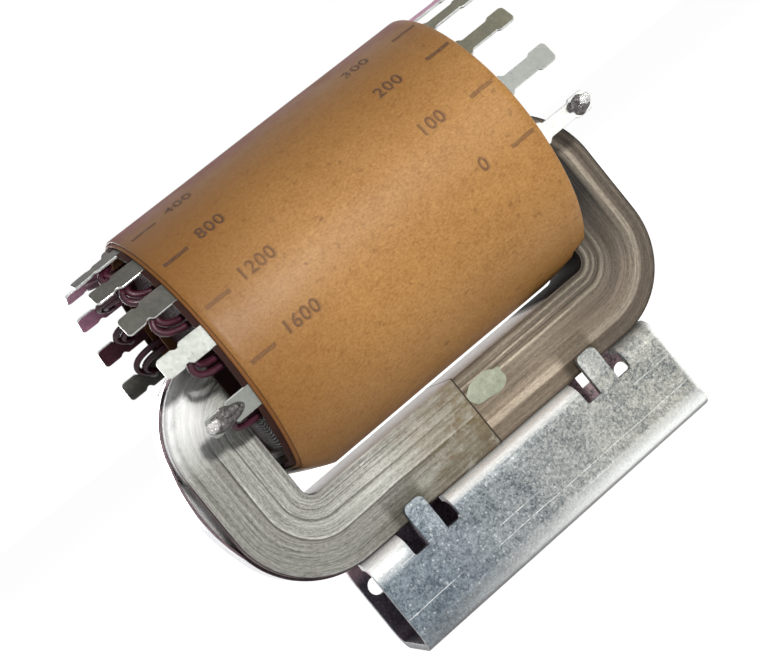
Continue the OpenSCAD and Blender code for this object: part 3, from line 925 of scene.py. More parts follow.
@dataclass(frozen=True)
class Lacquer(Finish):
    """A dark varnished surface with uneven tone: wire ends, sleeving, board and shims; on the board the dark
    tone is painted shade.
    """

    color: Rgb
    dark: Rgb
    roughness: float
    size: float
    gloss: float

    def inputs(self, g: Graph, groups: SharedGroups) -> dict[str, Any]:
        """Two tones by cloudy noise, glossier where the varnish lies thick."""
        clouds = groups.clouds(g, g.place(), self.size)
        return {"Base Color": g.blend(clouds, self.dark, self.color), "Specular IOR Level": self.gloss,
                "Roughness": g.between(clouds, self.roughness, self.roughness + 0.2),
                "Normal": g.bump(clouds, 0.4, 0.06 * MM)}


@dataclass(frozen=True)
class StageWhite(Finish):
    """The pale floor: white where the camera sees it, still darkened by shadows."""

    glow: float = 0.92
    color: float = 0.60

    def surface(self, g: Graph, groups: SharedGroups) -> Socket:
        """Diffuse white plus a plain glow for camera, glossy and transmission rays."""
        matt = g.add("ShaderNodeBsdfDiffuse", {"Color": rgba((self.color,) * 3)})
        strength = g.times(g.seen_directly(), self.glow)
        glow = g.add("ShaderNodeEmission", {"Color": rgba((1.0, 1.0, 1.0)), "Strength": strength})
        return g.add("ShaderNodeAddShader", {0: matt.outputs[0], 1: glow.outputs[0]}).outputs[0]


# The light band from 2.2 to 2.8 mm, on the shoulder of the sloping outer turns, and the thin light lines at
# 7.1, 8.2 and 9.1 mm are painted highlights.
VARNISHED_BANDS = (
    (0.0, (0.055, 0.045, 0.037)), (0.4, (0.125, 0.101, 0.080)), (1.9, (0.125, 0.100, 0.078)),
    (2.2, (0.31, 0.268, 0.215)), (2.8, (0.35, 0.303, 0.247)), (3.2, (0.22, 0.182, 0.142)),
    (5.2, (0.17, 0.137, 0.106)), (6.8, (0.22, 0.182, 0.142)), (7.1, (0.52, 0.46, 0.37)),
    (7.4, (0.16, 0.13, 0.10)), (8.0, (0.20, 0.163, 0.127)), (8.2, (0.49, 0.43, 0.355)),
    (8.5, (0.17, 0.138, 0.108)), (9.1, (0.43, 0.38, 0.305)), (9.4, (0.16, 0.13, 0.10)),
    (10.0, (0.16, 0.133, 0.105)))


class Look(Enum):
    """Every finish of the object."""

    WRAP = KraftPaper("wrap paper")
    SLEEVE = KraftPaper("sleeve paper", (0.33, 0.138, 0.042), (0.17, 0.060, 0.020), roughness=0.5)
    # Nearly black kraft paper: painted shade inside the coil's rims.
    COVER = KraftPaper("cover paper", (0.10, 0.045, 0.035), (0.03, 0.013, 0.012), roughness=0.55)
    INK = Ink("stamp ink")
    WORN_INK = Ink("worn stamp ink", (0.15, 0.072, 0.040), 0.42)
    SMUDGED_INK = Ink("smudged ink", (0.15, 0.075, 0.045), 0.26)
    CORE_LEFT = StripSteel("ground strip steel")
    CORE_RIGHT = StripSteel(
        "varnished strip steel", VARNISHED_BANDS, stain=(0.11, 0.08, 0.05), stain_x=(40.0 * MM, 0.0),
        stain_share=0.5, streaks=0.7, metallic=0.35, roughness=0.36, highlight_shade_and_stain_share=0.0,
        shade_x=(13.8 * MM, 16.2 * MM), dim_top=0.06, bend_leg=(0.86, 1.38))
    BRACKET = ZincSheet("zinc sheet")
    BAND = TinPlate("band steel", (0.80, 0.79, 0.82), (0.55, 0.54, 0.58), 0.85, 0.18)
    # Painted shade with a painted pink reflection on the band's side and inner faces.
    BAND_INSIDE = TinPlate("band steel in painted shade", (0.085, 0.055, 0.065), (0.030, 0.015, 0.020), 0.5, 0.35)
    TAG_BRIGHT = TinPlate("bright tinned tag", (0.295, 0.308, 0.290), (0.235, 0.247, 0.230), 0.45, 0.42)
    # Painted highlight: the tinned finish overexposed to near white.
    TAG_WHITE = TinPlate("tinned tag with painted highlight", (0.92, 0.92, 0.90), (0.70, 0.71, 0.69), 0.5, 0.36)
    # Painted shade: the tinned finish darkened.
    TAG_DULL = TinPlate("tinned tag in painted shade", (0.125, 0.122, 0.106), (0.065, 0.062, 0.054), 0.5, 0.45)
    TAG_GREEN = TinPlate("grey-green tinned tag", (0.215, 0.205, 0.150), (0.13, 0.125, 0.09), 0.45, 0.45)
    # Painted pink reflection of the surroundings.
    TAG_PINK = TinPlate("pink stained tag", (0.58, 0.27, 0.41), (0.34, 0.14, 0.225), 0.4, 0.38)
    # Painted pink reflection in shade.
    TAG_MAROON = TinPlate("maroon stained tag", (0.14, 0.04, 0.065), (0.045, 0.014, 0.022), 0.5, 0.40)
    # Painted highlight on the tags' edges.
    CUT_EDGE = TinPlate("tag edge highlight", (0.72, 0.73, 0.72), (0.36, 0.37, 0.36), 0.7, 0.3)
    SOLDER = Solder("frosted solder")
    # Painted highlight on the solder.
    SOLDER_BRIGHT = Solder("solder highlight", (0.22, 0.21, 0.20), (0.72, 0.72, 0.71))
    LEAD = Lacquer("violet sleeving", (0.085, 0.016, 0.034), (0.018, 0.004, 0.009), 0.24, 700.0, 0.35)
    WINDING = WoundWire("winding end")
    # Pressboard kept dark as painted shade inside the coil's rims.
    BOARD = Lacquer("pressboard", (0.050, 0.020, 0.015), (0.014, 0.006, 0.006), 0.6, 400.0, 0.12)
    SHIM = Lacquer("joint shim", (0.05, 0.035, 0.022), (0.015, 0.01, 0.008), 0.6, 900.0, 0.3)
    GLUE = Lacquer("dried glue", (0.44, 0.48, 0.38), (0.25, 0.27, 0.20), 0.40, 900.0, 0.4)
    FLOOR = StageWhite("stage white")


Looks = dict[Look, Material]


def make_looks() -> Looks:
    """Makes every finish into a material."""
    groups = SharedGroups()
    return {look: look.value.material(groups) for look in Look}


def dress(piece: Piece, material: Material, second: Material | None = None) -> Piece:
    """Gives a new piece its material and its body.

    Args:
        piece: The piece.
        material: Its material.
        second: A further material for the faces that are marked with index 1.

    Returns:
        The same piece.
    """
    marked = np.empty(len(piece.data.polygons), dtype=np.int32)
    piece.data.polygons.foreach_get("material_index", marked)
    piece.data.materials.clear()
    piece.data.materials.append(material)
    if second is not None:
        piece.data.materials.append(second)
        piece.data.polygons.foreach_set("material_index", marked)
    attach(piece, BODY)
    LOG.info("piece %s: %d faces", piece.name, len(piece.data.polygons))
    return piece


def repaint(node: str, material: Material) -> None:
    """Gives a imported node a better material."""
    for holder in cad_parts[node].material_slots:
        holder.link = "OBJECT"
        holder.material = material
    LOG.info("node %s repainted", node)


# ---------------------------------------------------------------------------------------------
# Coil
# ---------------------------------------------------------------------------------------------


@dataclass
class CoilForm:
    """The round coil that is drawn in on its window side, where the core's corners crowd it."""

    left_end: float
    right_end: float
    draw_left: float = 3.2 * MM
    draw_right: float = 1.3 * MM
    draw_length: float = 6.2 * MM
    waves: float = 0.05 * MM

    def at(self, x: Array, radius: Array, turn: Array) -> Array:
        """Points of the coil's surface.

        A circle of the given radius whose lower side is cut off by a soft flat, which lies
        higher towards both ends. The turn is 0 at the top and grows towards +Y.

        Args:
            x: Places along the coil.
            radius: Radius of the layer there.
            turn: Angle from the top.

        Returns:
            An array of points with a last axis of 3.
        """
        ends = ((x - self.left_end, self.draw_left), (self.right_end - x, self.draw_right))
        drawn = sum(np.clip(1 - reach / self.draw_length, 0, 1.2) ** 1.15 * draw for reach, draw in ends)
        wave = np.sin(3 * turn + 1 + 60 * x) * np.cos(2 * turn + 160 * x)
        wavy = radius - self.waves + self.waves * 0.5 * wave
        z = smooth_max(wavy * np.cos(turn), -(radius - drawn), 0.35 * drawn + 0.02 * MM)
        return np.stack([x, wavy * np.sin(turn), COIL_AXIS_Z + z], axis=-1)


@dataclass
class PaperTube:
    """One paper layer of the coil, with worn rims and room for the core's end at the right."""

    form: CoilForm
    name: str
    node: str
    start: float
    end: float
    radius: float
    seed: int
    relief_x: float
    wall: float = 0.35 * MM
    relief_half_y: float = 6.85 * MM
    relief_blend: float = 1.6 * MM
    fray: float = 0.10 * MM
    turns: int = 288
    stations: int = 46

    def rim(self, turn: Array) -> Array:
        """Place of the right rim, which steps back beside the core's end leg."""
        side_y = np.abs(self.radius * np.sin(turn))
        beside = smooth_step(side_y, self.relief_half_y, self.relief_half_y + self.relief_blend)
        free = np.where(np.cos(turn) < 0, beside, 1.0)
        return self.relief_x + (self.end - self.relief_x) * free

    def build(self) -> Piece:
        """The closed tube: a loop over both faces of the wall, carried round the coil.

        Returns:
            The piece, with a UV map of lengths along and round the coil.
        """
        turn = np.linspace(0, 2 * math.pi, self.turns, endpoint=False)
        share = np.linspace(0, 1, self.stations)
        lip = self.wall * 0.3
        along = np.concatenate([share, [1.0, 1.0], share[::-1], [0.0, 0.0]])
        push = np.repeat([0.0, lip, 0.0, -lip], [self.stations, 2, self.stations, 2])
        outer = np.full(self.stations, self.radius)
        edge = [self.radius - lip, self.radius - self.wall + lip]
        depth = np.concatenate([outer, edge, outer - self.wall, edge[::-1]])
        first = self.start + self.fray * ripple(turn, self.seed)
        last = self.rim(turn) - self.fray * (1 + ripple(turn, self.seed + 1))
        x = first[:, None] + (last - first)[:, None] * along[None, :] + push[None, :]
        radius = np.broadcast_to(depth[None, :], x.shape)
        angle = np.broadcast_to(turn[:, None], x.shape)
        points = self.form.at(x, radius, angle).reshape(-1, 3)
        uv = np.stack([x, angle * self.radius], axis=-1).reshape(-1, 2)
        piece = make_piece(self.name, points, ring_quads(*x.shape, close_rows=True), uv=uv, sharp_deg=50)
        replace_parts(face_outwards(piece), self.node)
        return piece


@dataclass
class StampedMark:
    """One stamped number, or a bar if it has no text, bent onto the wrap."""

    start: float
    angle: float
    size: float
    text: str = ""
    length: float = 3.6 * MM
    lift: float = 0.035 * MM
    heavier: float = 0.03 * MM

    def bar(self) -> tuple[Array, list[list[int]]]:
        """A bar with uneven edges: points on a flat sheet, along the coil and up it, and faces."""
        n = 24
        s = np.linspace(0, 1, n)
        rough = 0.06 * self.size * ripple(s * 2 * math.pi, int(abs(self.angle) * 7 + 3))
        upper = np.stack([s * self.length, self.size / 2 + rough], 1)
        lower = np.stack([s * self.length, -self.size / 2 + rough * 0.6], 1)
        return np.vstack([lower, upper]), [[i, i + 1, n + i + 1, n + i] for i in range(n - 1)]

    def digits(self) -> tuple[Array, list[list[int]]]:
        """The number's points and faces on the same flat sheet."""
        curve = bpy.data.curves.new("digits", "FONT")
        curve.body = self.text
        curve.size = self.size * 1.38
        curve.space_character = 1.12
        curve.offset = self.heavier
        holder = linked("digits", curve)
        bpy.context.view_layer.update()
        mesh = bpy.data.meshes.new_from_object(holder.evaluated_get(bpy.context.evaluated_depsgraph_get()))
        flat = np.array([(v.co.x, v.co.y) for v in mesh.vertices])
        faces = [list(p.vertices) for p in mesh.polygons]
        bpy.data.objects.remove(holder)
        bpy.data.meshes.remove(mesh)
        return flat - [0, self.size / 2], faces

    def build(self, form: CoilForm) -> Piece:
        """Bends the flat mark round the coil at its angle.

        The distance up the sheet becomes an angle about the coil's axis: height / radius.

        Args:
            form: The coil.

        Returns:
            The piece.
        """
        flat, faces = self.digits() if self.text else self.bar()
        turn = math.radians(self.angle) + flat[:, 1] / COIL_RADIUS - math.pi / 2
        x = self.start + flat[:, 0]
        base = form.at(x, np.full(len(x), COIL_RADIUS), turn)
        out = np.stack([np.zeros(len(x)), np.sin(turn), np.cos(turn)], -1)
        return make_piece("mark", base + self.lift * out, np.empty((0, 4), int), faces, sharp_deg=80)


@dataclass
class Coil:
    """The paper covered coil with its stamped marks and the visible ends of its layers.

    A row of marks is the X of its bars, then the angle, the X and the digits of each number.
    """

    looks: Looks
    rows: tuple[tuple[float, tuple[tuple[float, float, str], ...]], ...] = (
        (-20.4, ((61, -15.2, "400"), (38, -15.2, "800"), (15, -15.2, "1200"), (-9, -15.2, "1600"))),
        (20.1, ((59, 12.4, "300"), (38, 12.4, "200"), (15, 12.4, "100"), (-8, 15.4, "0"))))
    bar_height: float = 0.58 * MM
    text_height: float = 1.75 * MM
    worn_below: float = 30.0
    form: CoilForm = field(init=False)

    def __post_init__(self) -> None:
        """Reads the coil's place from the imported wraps."""
        self.form = CoilForm(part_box("inner_sleeve")[0].x, LABEL_BOX[1].x)

    def papers(self) -> None:
        """The printed wrap and the sleeve that shows past it."""
        low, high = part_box("label_wrap")
        sleeve_low, sleeve_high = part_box("inner_sleeve")
        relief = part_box("tag_layer")[1].x - 0.1 * MM
        wrap = PaperTube(self.form, "printed_wrap", "label_wrap", low.x, high.x, COIL_RADIUS, 3, relief)
        dress(wrap.build(), self.looks[Look.WRAP])
        sleeve = PaperTube(self.form, "paper_sleeve", "inner_sleeve", low.x - 0.4 * MM,
                           sleeve_high.x - 0.3 * MM, (sleeve_high.y - sleeve_low.y) / 2, 11, relief)
        dress(sleeve.build(), self.looks[Look.SLEEVE])

    def marks(self) -> None:
        """Bars next to the tags and plain numbers beside them, each over a smudge of its own."""
        made, worn, smudged = [], [], []
        for bar_x, numbers in self.rows:
            for angle, text_x, text in numbers:
                bar = StampedMark(bar_x * MM, angle, self.bar_height)
                number = StampedMark(text_x * MM, angle + 2.0, self.text_height, text)
                smudge = replace(number, start=(text_x + 0.10) * MM, angle=angle + 1.8,
                                 lift=0.026 * MM, heavier=0.12 * MM)
                kept = made if angle > self.worn_below else worn
                kept.extend([bar.build(self.form), number.build(self.form)])
                smudged.append(smudge.build(self.form))
        dress(joined("stamped_marks", made), self.looks[Look.INK])
        dress(joined("worn_marks", worn), self.looks[Look.WORN_INK])
        dress(joined("smudged_marks", smudged), self.looks[Look.SMUDGED_INK])

    def ends(self) -> None:
        """The layers that show inside the rims keep their solids and get dark finishes, painted shade inside
        the rims.
        """
        layers = {"primary_winding": Look.WINDING, "secondary_winding": Look.WINDING,
                  "winding_barrier": Look.COVER, "winding_cover": Look.COVER,
                  "coil_former": Look.BOARD, "tag_layer": Look.BOARD}
        for node, look in layers.items():
            repaint(node, self.looks[look])

    def build(self) -> None:
        """Builds and dresses the coil."""
        self.papers()
        self.marks()
        self.ends()


# ---------------------------------------------------------------------------------------------
# Tags, leads and solder
# ---------------------------------------------------------------------------------------------


class Side(Enum):
    """The two ends of the coil, as the sign of X."""

    LEFT = -1
    RIGHT = 1


@dataclass
class SolderTag:
    """One stamped tag, waisted behind its head, a little bent by use."""

    side: Side
    number: int
    angle: float
    root: float
    bend: float
    twist: float
    width: float = 3.0 * MM
    waist: float = 2.1 * MM
    head: float = 2.7 * MM
    head_length: float = 2.4 * MM
    neck: float = 0.5 * MM
    corner: float = 0.55 * MM
    thickness: float = 0.35 * MM
    edge: float = 0.07 * MM
    hold: float = 4.5 * MM

    @property
    def node(self) -> str:
        """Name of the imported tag."""
        return f"tag_{self.side.name.lower()}_{self.number}"

    def axes(self) -> tuple[Array, Array]:
        """The tag's width direction and its outward direction."""
        a = math.radians(self.angle)
        return np.array([0.0, math.sin(a), math.cos(a)]), np.array([0.0, -math.cos(a), math.sin(a)])

    def point(self, x: float, across: float = 0.0, out: float = 0.0) -> Array:
        """A point given by its X, its distance across the tag and its height over the middle.

        The middle of the plate lies at its packed radius plus half its thickness.
        """
        width_dir, out_dir = self.axes()
        radius = TAG_RADIUS + self.thickness / 2
        return np.array([x, 0.0, COIL_AXIS_Z]) + across * width_dir + (out + radius) * out_dir

    def outline(self, s: Array, total: float) -> Array:
        """Half the width at each distance from the held end: root, waist and rounded head."""
        shoulder = (self.width - self.waist) / 2
        root_end = self.hold + self.root
        head_start = total - self.head_length
        waisted = smooth_step(s, root_end, root_end + shoulder * 1.3)
        headed = smooth_step(s, head_start - 0.45 * MM, head_start + 0.15 * MM)
        half = self.width / 2 + (self.waist - self.width) / 2 * waisted
        half = half + (self.head - self.waist) / 2 * headed
        into = np.clip((s - (total - self.corner)) / self.corner, 0, 1)
        return half - self.corner * (1 - np.sqrt(np.clip(1 - into**2, 0, 1)))

    def stations(self, total: float) -> Array:
        """Distances from the held end, close together where the outline turns."""
        neck, round_start = total - self.head_length - self.neck, total - self.corner
        tip = total - self.corner * (1 - np.sin(np.linspace(0, math.pi / 2 - 0.02, 12)))
        return np.unique(np.concatenate([
            np.linspace(0, self.hold, 5), np.linspace(self.hold, neck, 30),
            np.linspace(neck, round_start, 18), tip]))

    def build(self) -> Piece:
        """Sweeps the tag's section along its length, bent in a parabola and twisted evenly.

        Returns:
            The piece, which replaces its node. Its edges are marked for a second material, a painted
            highlight.
        """
        low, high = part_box(self.node)
        total = high.x - low.x
        width_dir, out_dir = self.axes()
        s = self.stations(total)
        free = np.clip((s - self.hold) / (total - self.hold), 0, 1)
        path = self.point(low.x if self.side is Side.RIGHT else high.x) + np.outer(s, [self.side.value, 0, 0])
        path = path + np.outer(free**2 * self.bend, out_dir)
        roll = np.radians(self.twist) * free
        side = np.cos(roll)[:, None] * width_dir + np.sin(roll)[:, None] * out_dir
        up = -np.sin(roll)[:, None] * width_dir + np.cos(roll)[:, None] * out_dir
        half_h = np.full(len(s), self.thickness / 2)
        points, quads, caps = swept(path, self.outline(s, total), half_h, self.edge, side, up)
        piece = make_piece(self.node + "_plate", points, quads, caps, sharp_deg=40)
        column = np.arange(len(quads)) % 8
        cut = np.concatenate([(column != 1) & (column != 5), np.ones(len(caps), bool)])
        piece.data.polygons.foreach_set("material_index", cut.astype(np.int32))
        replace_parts(face_outwards(piece), self.node)
        return piece

    def drop(self, name: str, x: float, radii: Sequence[float], across: float, out: float,
             seed: int) -> Piece:
        """A lumpy drop of solder laid along the tag."""
        axes = np.array([[1.0, 0, 0], *self.axes()])
        return ball(self.point(x, across, out), np.array(radii), axes, 0.24, seed, name)


@dataclass(frozen=True)
class TagRow:
    """The tags at one end of the coil, from the lowest at the front over the top to the back."""

    side: Side
    angles: tuple[float, ...]
    looks: tuple[Look, ...]
    root: float
    bow: float
    drop: float

    @property
    def word(self) -> str:
        """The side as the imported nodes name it."""
        return self.side.name.lower()


# Besides the bright and the grey-green tins, the tags' finishes are painted copies of one tinned finish:
# painted shade, a painted highlight and painted pink reflection.
TAG_ROWS = (
    TagRow(Side.LEFT, (-19, 8, 30, 50, 70, 109, 130, 150, 168),
           (Look.TAG_BRIGHT, Look.TAG_BRIGHT, Look.TAG_DULL, Look.TAG_DULL, Look.TAG_DULL,
            Look.TAG_PINK, Look.TAG_PINK, Look.TAG_MAROON, Look.TAG_DULL),
           root=2.5 * MM, bow=4.0 * MM, drop=2.5 * MM),
    TagRow(Side.RIGHT, (-12, 11, 34, 56, 72),
           (Look.TAG_WHITE, Look.TAG_BRIGHT, Look.TAG_GREEN, Look.TAG_GREEN, Look.TAG_PINK),
           root=2.3 * MM, bow=2.0 * MM, drop=1.4 * MM))


@dataclass
class TagSet:
    """All the tags, the leads that come up under them and the drops of solder.

    Each of a tag's two leads is the angle in degrees from its foot to the tag and its share of
    the row's bow.
    """

    looks: Looks
    lead: float = 0.45 * MM
    slack: float = 0.03 * MM
    bead: Spot = (0.7 * MM, 0.6 * MM, 0.42 * MM)
    leads_per_tag: tuple[Span, ...] = ((12.0, 1.0), (8.0, 0.72))
    tags: dict[Side, list[SolderTag]] = field(init=False)

    def __post_init__(self) -> None:
        """Lists the tags with small bends that differ from tag to tag."""
        rng = np.random.default_rng(42)
        self.tags = {
            row.side: [SolderTag(row.side, number, angle, row.root, rng.uniform(-0.15, 0.12) * MM,
                                 rng.uniform(-3, 3)) for number, angle in enumerate(row.angles, 1)]
            for row in TAG_ROWS}

    def plates(self) -> None:
        """Every tag as its own piece."""
        for row in TAG_ROWS:
            for tag, look in zip(self.tags[row.side], row.looks):
                dress(tag.build(), self.looks[look], self.looks[Look.CUT_EDGE])

    def lead_path(self, tag: SolderTag, spread: float, bow: float) -> Array:
        """Centreline of a lead: a Bezier curve from the winding's end, bowing out, to its tag.

        Args:
            tag: The tag that it feeds.
            spread: Angle in degrees between the lead's foot and the tag.
            bow: How far the lead bows out.

        Returns:
            Points along the curve.
        """
        low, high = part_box("secondary_winding")
        sign = tag.side.value
        face = (high.x if sign > 0 else low.x) + sign * self.slack
        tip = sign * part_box("tag_layer")[1].x
        foot_r = (high.y - low.y) / 2 - self.lead - 0.7 * MM
        tag_r = TAG_RADIUS - self.lead - self.slack
        foot = tag.angle - spread
        stops = [(face, foot_r, foot), (tip + sign * bow * 0.3, foot_r, foot),
                 (tip + sign * bow, (foot_r + tag_r) / 2, foot),
                 (tip + sign * bow, tag_r, tag.angle - spread / 3),
                 (tip + sign * bow * 0.4, tag_r, tag.angle)]
        x, r, a = np.array(stops).T
        control = np.stack([x, -r * np.cos(np.radians(a)), COIL_AXIS_Z + r * np.sin(np.radians(a))], 1)
        t = np.linspace(0, 1, 30)[:, None]
        weights = [math.comb(4, k) * t**k * (1 - t) ** (4 - k) for k in range(5)]
        return sum(w * p for w, p in zip(weights, control))

    def leads(self) -> None:
        """Two sleeved leads under each tag, one close to the other."""
        for row in TAG_ROWS:
            made = []
            for tag in self.tags[row.side]:
                for spread, share in self.leads_per_tag:
                    shell = tube(self.lead_path(tag, spread, row.bow * share), self.lead * 0.96)
                    made.append(make_piece("lead", *shell, sharp_deg=60))
            word = row.word
            piece = face_outwards(joined(f"sleeved_leads_{word}", made))
            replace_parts(piece, f"lead_wires_{word}")
            dress(piece, self.looks[Look.LEAD])

    def solder(self) -> None:
        """A long lump over the lowest left head, one on the right, and beads at the leads."""
        for row in TAG_ROWS:
            node, sign, tag = f"solder_{row.word}", row.side.value, self.tags[row.side][0]
            low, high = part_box(node)
            x = (low.x + high.x) / 2
            drops = (
                ("lump", x - sign * (row.drop - 1.5 * MM), (row.drop, 1.2 * MM, 0.62 * MM),
                 0.0, 0.12 * MM, 5),
                ("ridge", x - sign * row.drop * 0.7, (row.drop * 0.6, 0.62 * MM, 0.66 * MM),
                 0.35 * MM, 0.3 * MM, 8),
                ("shine", x + sign * 0.7 * MM, (0.95 * MM, 0.75 * MM, 0.42 * MM),
                 0.15 * MM, 0.40 * MM, 12))
            made = [tag.drop(*values) for values in drops]
            # The last drop carries the painted highlight.
            shine = made[-1].data.polygons
            shine.foreach_set("material_index", np.ones(len(shine), np.int32))
            for other in self.tags[row.side]:
                end = self.lead_path(other, self.leads_per_tag[0][0], row.bow)[-1]
                made.append(other.drop("bead", end[0], self.bead, 0.0, -0.5 * MM, other.number))
            piece = joined(f"solder_drops_{row.word}", made)
            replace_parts(piece, node)
            dress(piece, self.looks[Look.SOLDER], self.looks[Look.SOLDER_BRIGHT])

    def build(self) -> None:
        """Builds and dresses tags, leads and solder."""
        self.plates()
        self.leads()
        self.solder()


# ---------------------------------------------------------------------------------------------
# Core
# ---------------------------------------------------------------------------------------------


@dataclass
class FaceRelief:
    """How far each turn of strip stands back from the core's face.

    Each ridge is its distance from the outside, its width and its height, in millimetres.
    """

    seed: int
    step: float
    outer_drop: float
    outer_width: float
    ridges: tuple[tuple[float, float, float], ...] = ()
    groups: int = 46

    def depth(self, d: Array, build: float) -> Array:
        """Set-back at distance d from the core's outside.

        Each group of turns has its own random step; ridges are soft bands that stand back, and
        the outermost turns slope away.

        Args:
            d: Distances from the outside.
            build: Height of the stack of turns.

        Returns:
            The set-back, 0 or more.
        """
        rng = np.random.default_rng(self.seed)
        steps = rng.uniform(0, self.step, self.groups + 1)
        group = np.clip((d / build * self.groups).astype(int), 0, self.groups)
        total = steps[group] + self.outer_drop * (1 - smooth_step(d, 0.0, self.outer_width))
        for place, width, height in self.ridges:
            total = total + height * MM * np.exp(-(((d - place * MM) / (width * MM)) ** 2))
        return np.maximum(total, 0.0)


@dataclass
class CoreHalf:
    """One C-shaped half: the strip's section, stepped by its turns, carried round the C."""

    side: Side
    node: str
    name: str
    relief: FaceRelief
    back_relief: FaceRelief
    corner: float = 11.5 * MM
    build_up: float = 10.0 * MM
    edge: float = 0.12 * MM
    groove: float = 0.012 * MM
    wall_points: int = 7

    def stations(self, low: Vector, high: Vector) -> tuple[Array, Array, Array]:
        """Centres and outward directions of the sections, and the length along the turns."""
        far = high.x if self.side is Side.RIGHT else -low.x
        near = low.x if self.side is Side.RIGHT else -high.x
        bend_x, bottom, top = far - self.corner, low.z + self.corner, high.z - self.corner
        sweep = np.linspace(0, math.pi / 2, 30, endpoint=False)
        legs = ((np.linspace(near, bend_x, 10, endpoint=False), bottom, 0.0, -1.0),
                (bend_x, bottom, np.sin(sweep), -np.cos(sweep)),
                (bend_x, np.linspace(bottom, top, 8, endpoint=False), 1.0, 0.0),
                (bend_x, top, np.cos(sweep), np.sin(sweep)),
                (np.linspace(bend_x, near, 11), top, 0.0, 1.0))
        rows = np.vstack([np.stack(np.broadcast_arrays(*leg), axis=1) for leg in legs])
        centre, out = rows[:, :2], rows[:, 2:]
        track = centre + (self.corner - self.build_up / 2) * out
        gaps = np.linalg.norm(np.diff(track, axis=0), axis=1)
        return centre, out, np.concatenate([[0.0], np.cumsum(gaps)])

    def loop(self, half: float) -> tuple[Array, Array]:
        """The strip pack's section as distances from the outside and places along Y."""
        edges = np.linspace(0, self.build_up, self.relief.groups + 1)[1:-1]
        d = np.sort(np.concatenate([edges - self.groove, edges + self.groove]))
        d = np.concatenate([[self.edge], d, [self.build_up - self.edge]])
        front = -half + self.relief.depth(d, self.build_up)
        rear = half - self.back_relief.depth(d, self.build_up)
        n = self.wall_points
        across = np.linspace(-half + self.edge * 3, half - self.edge * 3, n)
        depth = np.concatenate([d, np.full(n, self.build_up), d[::-1], np.zeros(n)])
        return depth, np.concatenate([front, across, rear[::-1], across[::-1]])

    def build(self) -> Piece:
        """The half as one closed piece with a UV map along and across the turns.

        Returns:
            The piece, which replaces its node.
        """
        low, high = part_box(self.node)
        centre, out, length = self.stations(low, high)
        width = high.y - low.y
        depth, place = self.loop(width / 2)
        reach = self.corner - depth[None, :]
        x = (centre[:, :1] + reach * out[:, :1]) * self.side.value
        z = centre[:, 1:] + reach * out[:, 1:]
        y = np.broadcast_to(place[None, :], x.shape)
        points = np.stack([x, y, z], -1).reshape(-1, 3)
        inner, rear, outer = np.cumsum([len(depth) // 2 - self.wall_points, self.wall_points,
                                        len(depth) // 2 - self.wall_points])
        across = np.concatenate([depth[:inner], self.build_up + place[inner:rear] + width / 2,
                                 2 * self.build_up + width - depth[rear:outer],
                                 2 * self.build_up + 1.5 * width - place[outer:]])
        uv = np.stack(np.broadcast_arrays(length[:, None], across[None, :]), -1).reshape(-1, 2)
        piece = make_piece(self.name, points, ring_quads(*x.shape), end_caps(*x.shape), uv, 25,
                           2 * (self.build_up + width))
        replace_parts(face_outwards(piece), self.node)
        return piece


@dataclass
class GlueDab:
    """A dab of glue dried on the front face of the right half, next to the joint."""

    start: float = 0.15 * MM
    length: float = 6.0 * MM
    middle_d: float = 6.4 * MM
    height: float = 2.9 * MM
    swell: float = 0.09 * MM
    sunk: float = 0.25 * MM
    squareness: float = 0.8
    rings: int = 14
    spokes: int = 64

    def squared(self, wave: Array) -> Array:
        """A sine or cosine pushed outwards, so that a round outline fills its corners."""
        return np.sign(wave) * np.abs(wave) ** self.squareness

    def build(self) -> Piece:
        """A low dome over an uneven outline: swell x (1 - r^4), with soft bumps on top.

        Returns:
            The closed piece, whose flat back lies inside the core.
        """
        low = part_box("core_half_right")[0]
        r, turn = np.meshgrid(np.linspace(1, 0.04, self.rings),
                              np.linspace(0, 2 * math.pi, self.spokes, endpoint=False), indexing="ij")
        edge = r * (1 + 0.22 * ripple(turn, 31, 9))
        x = self.start + self.length / 2 * (1 + edge * self.squared(np.cos(turn)))
        z = low.z + self.middle_d + self.height / 2 * edge * self.squared(np.sin(turn))
        x = np.maximum(x, self.start * 0.6)
        flat = np.stack([x, np.zeros_like(x), z], -1).reshape(-1, 3)
        bumps = 1 + 0.55 * lumps(flat, 1.1 * MM, 17)
        y = low.y - self.swell * (1 - r.ravel() ** 4) * bumps
        front = np.stack([flat[:, 0], y, flat[:, 2]], -1)
        points = np.vstack([front[:self.spokes] + [0, self.sunk, 0], front])
        grid = (self.rings + 1, self.spokes)
        return face_outwards(make_piece("glue_dab", points, ring_quads(*grid), end_caps(*grid), sharp_deg=50))


GROUND_RELIEF = FaceRelief(5, 0.03 * MM, 0.25 * MM, 0.4 * MM, ((4.7, 0.14, 0.07), (6.9, 0.1, 0.08)))
DULL_RELIEF = FaceRelief(9, 0.06 * MM, 0.42 * MM, 2.3 * MM,
                         ((4.6, 1.2, 0.16), (7.5, 0.18, 0.16), (8.6, 0.2, 0.16), (9.5, 0.16, 0.12)))
BACK_RELIEF = FaceRelief(21, 0.04 * MM, 0.2 * MM, 1.0 * MM)


